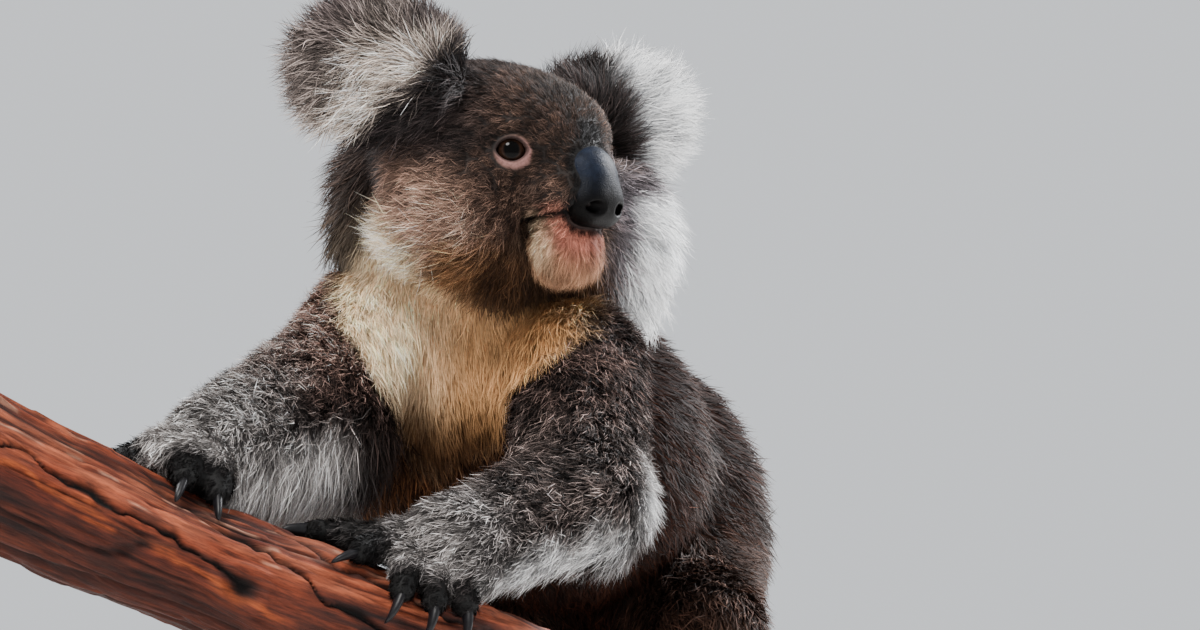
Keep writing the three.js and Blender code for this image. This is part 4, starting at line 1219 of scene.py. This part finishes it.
# The nose is bare leather with two nostrils and a groove under them.
nose = {"middle": onHead(51, 0, -9), "half": 30, "step": 0.9, "shrink": 0.2,
        "dark": (0.0015, 0.0012, 0.0012, 1), "sheen": (0.0075, 0.0105, 0.019, 1)}
nostrils = [limb((59, 6.6 * s, -21.5), (51, 11 * s, -19.5), 2.9, 1.8) for s in bothSides]
nostrils += [limb((52, 11 * s, -19), (46, 15 * s, -15), 1.3, 0.8) for s in bothSides]
groove = limb((61, 0, -22), (57, 0, -34), 0.9, 1.3)
noseSolid = inHead(pressed(1.6, lambda p: noseForm(p) + nose["shrink"], joined(1.5, [*nostrils, groove])))
noseBox = nose["middle"] - nose["half"], nose["middle"] + nose["half"]
nosePoints, noseFaces = netOf(noseSolid, *noseBox, nose["step"])
nosePoints = settled(noseSolid, nosePoints)
noseLook, tree, shader = material("koala_nose", roughness=0.45, specular_ior_level=0.07)
pores = node(tree, "ShaderNodeTexVoronoi", inputs={"Scale": 1900.0})
link(tree, node(tree, "ShaderNodeTexCoord").outputs["Object"], pores.inputs["Vector"])
bumped(tree, shader, pores.outputs["Distance"], 0.35, 0.0004)
# painted sheen: the nose's top gets a lighter bluish colour for the sky's reflection, while its lower part
# stays dark
base = blended(tree, nose["dark"], nose["sheen"], attribute(tree, "noseSheenShare"))
mottled = remap(tree, noise(tree, 260, 4), 0.35, 0.65, 0.6, 1.3)
link(tree, scaled(tree, base, mottled), shader.inputs["Base Color"])
noseAt = toHead(nosePoints)
# how much of the painted sheen shows, growing towards the nose's top
noseSheenShare = ramp(noseAt[:, 2] + 0.25 * np.abs(noseAt[:, 1]), -17, 0)
meshPiece("nose_leather", nosePoints, noseFaces, noseLook, ["nose"],
          extra={"noseSheenShare": noseSheenShare})

# Claws run from the digits' tips down to the bark.
claws = {"length": 17.0, "radius": 2.8, "sink": 4.0, "endLift": 1.6, "rings": 14, "around": 12, "tall": 1.2,
         "broad": 0.82, "ahead": 6.2, "tint": (0.006, 0.0055, 0.0065)}
clawLook, tree, shader = material("koala_claw", roughness=0.4, specular_ior_level=0.2)
streak = remap(tree, noise(tree, 500, 3), 0.3, 0.7, 0.6, 1.6)
link(tree, scaled(tree, claws["tint"], streak), shader.inputs["Base Color"])
bumped(tree, shader, noise(tree, 900, 3), 0.12, 0.0003)


def clawMesh(paw, number):  # rings carried along a bent line from the digit's tip to the bark, to a point
    s0, s1, a0, a1 = paw["digits"][number - 1]
    knuckle, tip = digitPoints(paw, paw["digits"][number - 1])[1:]
    ahead = unit(tip - knuckle)
    reach = 0.8 * claws["length"] / math.hypot(s1 - s0, math.radians(a1 - a0) * perch["radius"])
    end = onPerch(paw["station"] + s1 + reach * (s1 - s0), a1 + reach * (a1 - a0), claws["endLift"])
    start = tip + ahead * (claws["ahead"] - claws["sink"])
    control = tip + ahead * (claws["ahead"] + 0.45 * claws["length"])
    control = control + (end - control) * 0.15
    t = np.linspace(0, 0.995, claws["rings"])[:, None]
    middle = (1 - t) ** 2 * start + 2 * t * (1 - t) * control + t ** 2 * end
    way = unit(2 * (1 - t) * (control - start) + 2 * t * (end - control))
    level = unit(np.cross(control - start, end - control)) * np.ones_like(way)
    rise = np.cross(way, level)
    phi = np.arange(claws["around"]) * 2 * math.pi / claws["around"]
    girth = claws["radius"] * np.sqrt(1 - t) * (1 - 0.12 * t)
    ring = (np.cos(phi)[None, :, None] * level[:, None] * claws["broad"]
            + np.sin(phi)[None, :, None] * rise[:, None] * claws["tall"])
    rings = middle[:, None] + ring * girth[:, None]
    return rings.reshape(-1, 3), sheetFaces(claws["rings"], claws["around"], True)


for name, paw in paws.items():
    for number in paw["claws"]:
        shape, faces = clawMesh(paw, number)
        meshPiece(f"{name}_horn_{number}", shape, faces, clawLook, [f"{name}_claw_{number}"])

# The branch's bark is rings round its line, raised and cracked, with a flat cut at each end.
bark = {
    "along": 470, "around": 168, "cap": 8, "capCentre": 0.01, "crackDepth": 4.2, "stripHeight": 1.2,
    "knot": {"at": (162, 94), "size": (9, 16), "rim": 2.0, "hollow": 3.5},
    # each crack: its angle at stations along the branch, where it starts and ends, and its half width
    "cracks": [([(0, 66), (90, 68), (160, 90), (230, 104)], -60, 175, 4.2),
               ([(130, 44), (159, 57), (219, 86), (300, 120)], 128, 290, 3.0),
               ([(120, 8), (168, 14), (197, 40), (260, 62)], 118, 300, 2.6),
               ([(180, -60), (400, -95), (560, -70)], 170, 560, 4.0)],
    "cutTints": ((*linear(214, 180, 140), 1), (*linear(168, 122, 84), 1)), "growthRings": 62.0,
}
s, turn = np.meshgrid(np.linspace(0, perchLength, bark["along"]),
                      np.arange(bark["around"]) * 2 * math.pi / bark["around"], indexing="ij")
degreesRound = np.degrees(np.angle(np.exp(1j * turn)))


def roundBranch(squeeze):  # places on a smooth branch, squeezed along it so that patterns draw out
    return np.stack([np.cos(turn) * perch["radius"], np.sin(turn) * perch["radius"], s / squeeze], axis=-1)


def barkHeight():  # slow twisted ridges, long fissures, flaking patches and fine grain
    flat, loose = roundBranch(9), roundBranch(2.2)
    ridge = 0.9 * np.sin(5 * turn + s / 60) + 0.6 * np.sin(3 * turn - s / 45)
    fissure = -2.4 * bump(wander(flat, 8.5, 61), 0, 0.11) - 1.1 * bump(wander(flat, 3.6, 63), 0, 0.16)
    flake = 0.7 * ramp(wander(loose, 17, 65), 0.12, 0.2) + 0.35 * ramp(wander(loose, 8, 66), 0.2, 0.3)
    return ridge + fissure + flake + 0.28 * wander(flat, 1.6, 67)


def crackAt(line, start, end, wide):  # a long crack along a line of (station, angle), 1 at its middle
    angles = np.interp(s, [at for at, _ in line], [a for _, a in line])
    place = np.stack([s / 14, s * 0, s * 0 + line[0][0]], axis=-1)
    sway = 5 * wander(place, 1.0, 91) + 2.2 * wander(place, 0.35, 92)
    taper = ramp(s, start, start + 25) * fade(s, end - 25, end)
    half = wide * (0.4 + 0.6 * taper) * (0.75 + 0.6 * wander(place, 0.6, 93))
    return taper * np.exp(-(((degreesRound - angles - sway) / np.maximum(half, 1.2)) ** 2))


(knotStation, knotAngle), (knotLong, knotWide) = bark["knot"]["at"], bark["knot"]["size"]
knot = np.hypot((s - knotStation) / knotLong, (degreesRound - knotAngle) / knotWide)
lift = barkHeight() + bark["knot"]["rim"] * bump(knot, 1.15, 0.35)
lift = lift - bark["knot"]["hollow"] * bump(knot, 0, 0.6)
cracks = np.max([crackAt(*crack) for crack in bark["cracks"]], axis=0)
lift = lift - 0.45 * wander(roundBranch(20), 1.5, 79)
besideCrack = crackAt([(0, 79), (90, 81), (160, 101), (230, 112)], -60, 175, 6.0)
lift = lift - bark["crackDepth"] * cracks + bark["stripHeight"] * besideCrack
rings = onPerch(s.ravel(), np.degrees(turn.ravel()), lift.ravel()).reshape(s.shape + (3,))
caps = []
inwards = np.linspace(1, bark["capCentre"], bark["cap"])[1:]
for end in (0, -1):
    centre = rings[end].mean(axis=0)
    caps.append(centre + (rings[end] - centre)[None] * inwards[:, None, None])
barkPoints = np.concatenate([caps[0][::-1], rings, caps[1]])
rowsNow, capShape = len(barkPoints), (bark["cap"] - 1, bark["around"])
isEnd = np.ones((rowsNow, bark["around"]))
isEnd[bark["cap"] - 1:bark["cap"] - 1 + bark["along"]] = 0
fullS = np.concatenate([np.full(capShape, 0.0), s, np.full(capShape, perchLength)])
fullTurn = np.tile(turn[0], (rowsNow, 1))
outwards = np.linspace(bark["capCentre"], 1, bark["cap"])[:-1]
edgeOut = np.concatenate([outwards, np.ones(bark["along"]), inwards])

# The bark's tones are laid over one another: each is a colour and how much of it shows.
flatPlace, loosePlace, longPlace = roundBranch(7), roundBranch(2.0), roundBranch(20)
underneath = ramp(np.abs(degreesRound) + 14 * wander(flatPlace, 9, 71), 84, 116)
strip = crackAt([(0, 80), (90, 82), (160, 102), (230, 112)], -60, 190, 7.5)
grain = wander(longPlace, 1.5, 79) + 0.6 * wander(longPlace, 3.2, 80)
weatheredAndLitTop = ramp(-np.abs(degreesRound) + 10 * wander(flatPlace, 6, 78), -84, -56)
worn = ramp(0.6 * wander(loosePlace, 9, 74) - 0.6 * grain, -0.2, 0.5)
tone = np.zeros(s.shape + (3,)) + linear(112, 52, 32)
for tint, amount in (
        ((66, 27, 15), ramp(wander(flatPlace, 10, 72) + 0.6 * grain, -0.6, 0.7)),
        # partly wear and partly painted light: paler bark with pale spots on the branch's top
        ((142, 78, 54), 0.7 * weatheredAndLitTop * worn),
        ((176, 130, 108), 0.6 * ramp(wander(flatPlace, 2.2, 76), 0.5, 0.75) * weatheredAndLitTop),
        # painted shade: dark brown underneath the branch, which is also less weathered
        ((46, 20, 11), 0.8 * underneath),
        ((140, 68, 33), 0.75 * strip * ramp(-grain, -0.5, 0.3)),
        ((46, 22, 15), 0.7 * ramp(wander(flatPlace, 4, 77), 0.3, 0.6)),
        ((34, 14, 9), 0.7 * ramp(grain, 0.25, 0.8)),
        # partly their dark inside and partly painted shade: near-black in the cracks and the knot's hollow
        ((10, 5, 3), np.clip(1.15 * cracks, 0, 1)),
        ((14, 7, 4), bump(knot, 0, 0.75))):
    tone = mixed(tone, linear(*tint), amount)
# painted shade: the bark darker where it lies low, in fissures, cracks and hollows
tone = tone * (0.35 + 0.65 * ramp(lift, -2.6, 0.4))[..., None]
ends = np.zeros(capShape + (3,)) + linear(120, 80, 56)
barkTone = np.concatenate([ends, tone, ends]).reshape(-1, 3)
barkLook, tree, shader = material("branch_bark", roughness=0.8, specular_ior_level=0.3)
vector = node(tree, "ShaderNodeCombineXYZ")
for k, name in enumerate(("barkX", "barkY", "barkS")):
    link(tree, attribute(tree, name), vector.inputs[k])


def barkNoise(scale, stretch):
    return noise(tree, scale, 4.0, 0.62, (1, 1, stretch), vector.outputs[0])


fine = remap(tree, barkNoise(900, 0.12), 0.3, 0.7, 0.45, 1.6)
coarse = remap(tree, barkNoise(260, 0.1), 0.35, 0.65, 0.7, 1.3)
outer = scaled(tree, scaled(tree, attribute(tree, "coatColour", "Color"), fine), coarse)
# the growth rings of a cut: the sine of the way out from its middle, made uneven
spread = node(tree, "ShaderNodeMath", operation="MULTIPLY_ADD", inputs={1: bark["growthRings"]})
link(tree, attribute(tree, "barkOut"), spread.inputs[0])
link(tree, remap(tree, barkNoise(40, 1.0), 0.3, 0.7, -1.5, 1.5), spread.inputs[2])
growth = node(tree, "ShaderNodeMath", operation="SINE")
link(tree, spread.outputs[0], growth.inputs[0])
cutTint = blended(tree, *bark["cutTints"], remap(tree, growth.outputs[0], -0.6, 1.0, 0, 1))
whole = blended(tree, outer, cutTint, attribute(tree, "barkEnd"))
link(tree, whole, shader.inputs["Base Color"])
bumped(tree, shader, barkNoise(700, 0.12), 0.8, 0.0012)
radiusNow = 0.001 * perch["radius"] * edgeOut[:, None]  # metres, for the pattern's places
barkPlaces = {"barkX": np.cos(fullTurn) * radiusNow, "barkY": np.sin(fullTurn) * radiusNow,
              "barkS": fullS * 0.001, "barkEnd": isEnd, "barkOut": np.repeat(edgeOut, bark["around"])}
meshPiece("branch_bark", barkPoints.reshape(-1, 3), sheetFaces(rowsNow, bark["around"], True), barkLook,
          ["perch_branch"], colour=barkTone,
          extra={name: values.ravel() for name, values in barkPlaces.items()})
report("branch made")

# The display stand: a wooden board with rounded edges and two steel rods with collars.
stand = {
    "width": 320, "depth": 340, "thickness": 18, "corner": 40, "edge": 2.5, "top": -300, "boardRound": 192,
    "rod": 7, "collar": 17, "inPerch": 14, "inBoard": 10, "rods": {"front": 196, "back": 524}, "round": 48,
    "centre": 0.002, "grain": ((0.3, linear(48, 34, 26)), (0.72, linear(104, 76, 56))),
}
phi = np.linspace(0, 2 * math.pi, stand["boardRound"] + 1)[:-1]
quarter = np.floor(phi / (math.pi / 2) + 1e-9) % 4
signX, signY = np.where((quarter == 0) | (quarter == 3), 1, -1), np.where(quarter < 2, 1, -1)
edgeProfile = [(0.0, 0.0)]  # how far out, and the height over the underside: a quarter round at each edge
for a in np.linspace(-math.pi / 2, math.pi / 2, 9):
    rise = stand["edge"] * (1 - abs(math.sin(a)))
    edgeProfile.append((-stand["edge"] * (1 - math.cos(a)), rise if a < 0 else stand["thickness"] - rise))
edgeProfile.append((0.0, stand["thickness"]))
underside = stand["top"] - stand["thickness"]
rowsBoard = []
for k, (inset, height) in enumerate(edgeProfile):
    corner = stand["corner"]
    shrink = stand["centre"] if k in (0, len(edgeProfile) - 1) else 1.0
    x = (signX * (stand["width"] / 2 - corner) + np.cos(phi) * (corner + inset)) * shrink
    y = (signY * (stand["depth"] / 2 - corner) + np.sin(phi) * (corner + inset)) * shrink
    rowsBoard.append(np.stack([x - modelShift[0], y - modelShift[1], np.full_like(x, underside + height)], 1))
boardLook, tree, shader = material("stand_wood", roughness=0.38, coat_weight=0.15, coat_roughness=0.3)
grain = noise(tree, 6, 6, 0.5, (14.0, 1.2, 14.0), distortion=0.6)
link(tree, toned(tree, grain, stand["grain"]), shader.inputs["Base Color"])
bumped(tree, shader, grain, 0.15, 0.0004)
meshPiece("board_wood", np.concatenate(rowsBoard), sheetFaces(len(rowsBoard), len(phi), True), boardLook,
          ["stand_base"])

steelLook, tree, shader = material("stand_steel", base_color=(0.56, 0.57, 0.59, 1), metallic=1.0)
brushed = noise(tree, 60, 3, 0.5, (1.0, 1.0, 40.0))
link(tree, remap(tree, brushed, 0.3, 0.7, 0.26, 0.42), shader.inputs["Roughness"])
bumped(tree, shader, brushed, 0.06, 0.0002)
for name, s in stand["rods"].items():
    foot = onPerch(s, 0, -perchRadius(s))
    low, high = stand["top"] - stand["inBoard"], foot[2] - perchRadius(s) + stand["inPerch"]
    r, collar, top = stand["rod"], stand["collar"], stand["top"]
    # radius and height of each ring, from the rod's foot in the board up to its top in the branch
    profile = [(0.02, low), (r, low), (r, top + 0.4), (collar - 0.5, top + 0.4), (collar, top + 0.9),
               (collar, top + 5.5), (collar - 0.8, top + 7.2), (collar - 2.5, top + 8), (r + 0.6, top + 8),
               (r + 0.15, top + 8.3), (r, top + 9), (r, high - 0.6), (r - 0.6, high), (0.02, high)]
    theta = np.arange(stand["round"]) * 2 * math.pi / stand["round"]
    rod = [np.stack([foot[0] + rr * np.cos(theta), foot[1] + rr * np.sin(theta), np.full(len(theta), z)], 1)
           for rr, z in profile]
    meshPiece(f"rod_{name}", np.concatenate(rod), sheetFaces(len(profile), len(theta), True), steelLook,
              [f"stand_rod_{name}"])
report("stand made")

# Floor, light and camera
studio = {
    "floor": 3.2, "sky": (0.90, 0.93, 0.97, 1), "skyStrength": 0.95, "aim": (0.0, 0.0, 0.32),
    # each light: place (m), size, power (W) and colour
    "lights": {"key": ((-0.9, -1.55, 3.0), 1.25, 168, (1.0, 0.97, 0.93)),
               "rim_right": ((1.7, 1.2, 1.5), 0.9, 185, (0.97, 0.98, 1.0)),
               "rim_left": ((-1.6, 1.7, 1.5), 0.9, 50, (0.97, 0.98, 1.0))},
    "camera": (0.055, -2.945, 0.318), "distance": 2.9, "seenWidth": 0.516,  # the width seen at that distance
}
floor = bpy.data.meshes.new("floor")
around = np.arange(96) * 2 * math.pi / 96
floor.from_pydata([(studio["floor"] * math.cos(a), studio["floor"] * math.sin(a), 0) for a in around], [],
                  [list(range(96))])
floor.materials.append(material("studio_floor", roughness=0.85, base_color=(0.74, 0.73, 0.71, 1))[0])
floorPiece = bpy.data.objects.new("floor", floor)
bpy.context.scene.collection.objects.link(floorPiece)

world = bpy.data.worlds.new("studio")
bpy.context.scene.world = world
world.use_nodes = True
world.node_tree.nodes["Background"].inputs["Color"].default_value = studio["sky"]
world.node_tree.nodes["Background"].inputs["Strength"].default_value = studio["skyStrength"]


def softLight(name, place, size, power, colour):  # a round area light aimed at the animal
    light = bpy.data.lights.new(name, "AREA")
    light.shape = "DISK"
    light.size, light.energy, light.color = size, power, colour
    made = bpy.data.objects.new(name, light)
    bpy.context.scene.collection.objects.link(made)
    aim = unit(vec(*studio["aim"]) - vec(*place))
    made.rotation_euler = Vector(aim).to_track_quat("-Z", "Y").to_euler()
    made.location = place


for name, values in studio["lights"].items():
    softLight(name, *values)

camera = bpy.data.objects.new("camera", bpy.data.cameras.new("camera"))
bpy.context.scene.collection.objects.link(camera)
camera.location = studio["camera"]
camera.rotation_euler = (math.pi / 2, 0, 0)
camera.data.sensor_fit = "HORIZONTAL"
camera.data.angle = 2 * math.atan(0.5 * studio["seenWidth"] / studio["distance"])
camera.data.clip_start = 0.05
bpy.context.scene.camera = camera

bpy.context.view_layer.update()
report("scene ready")
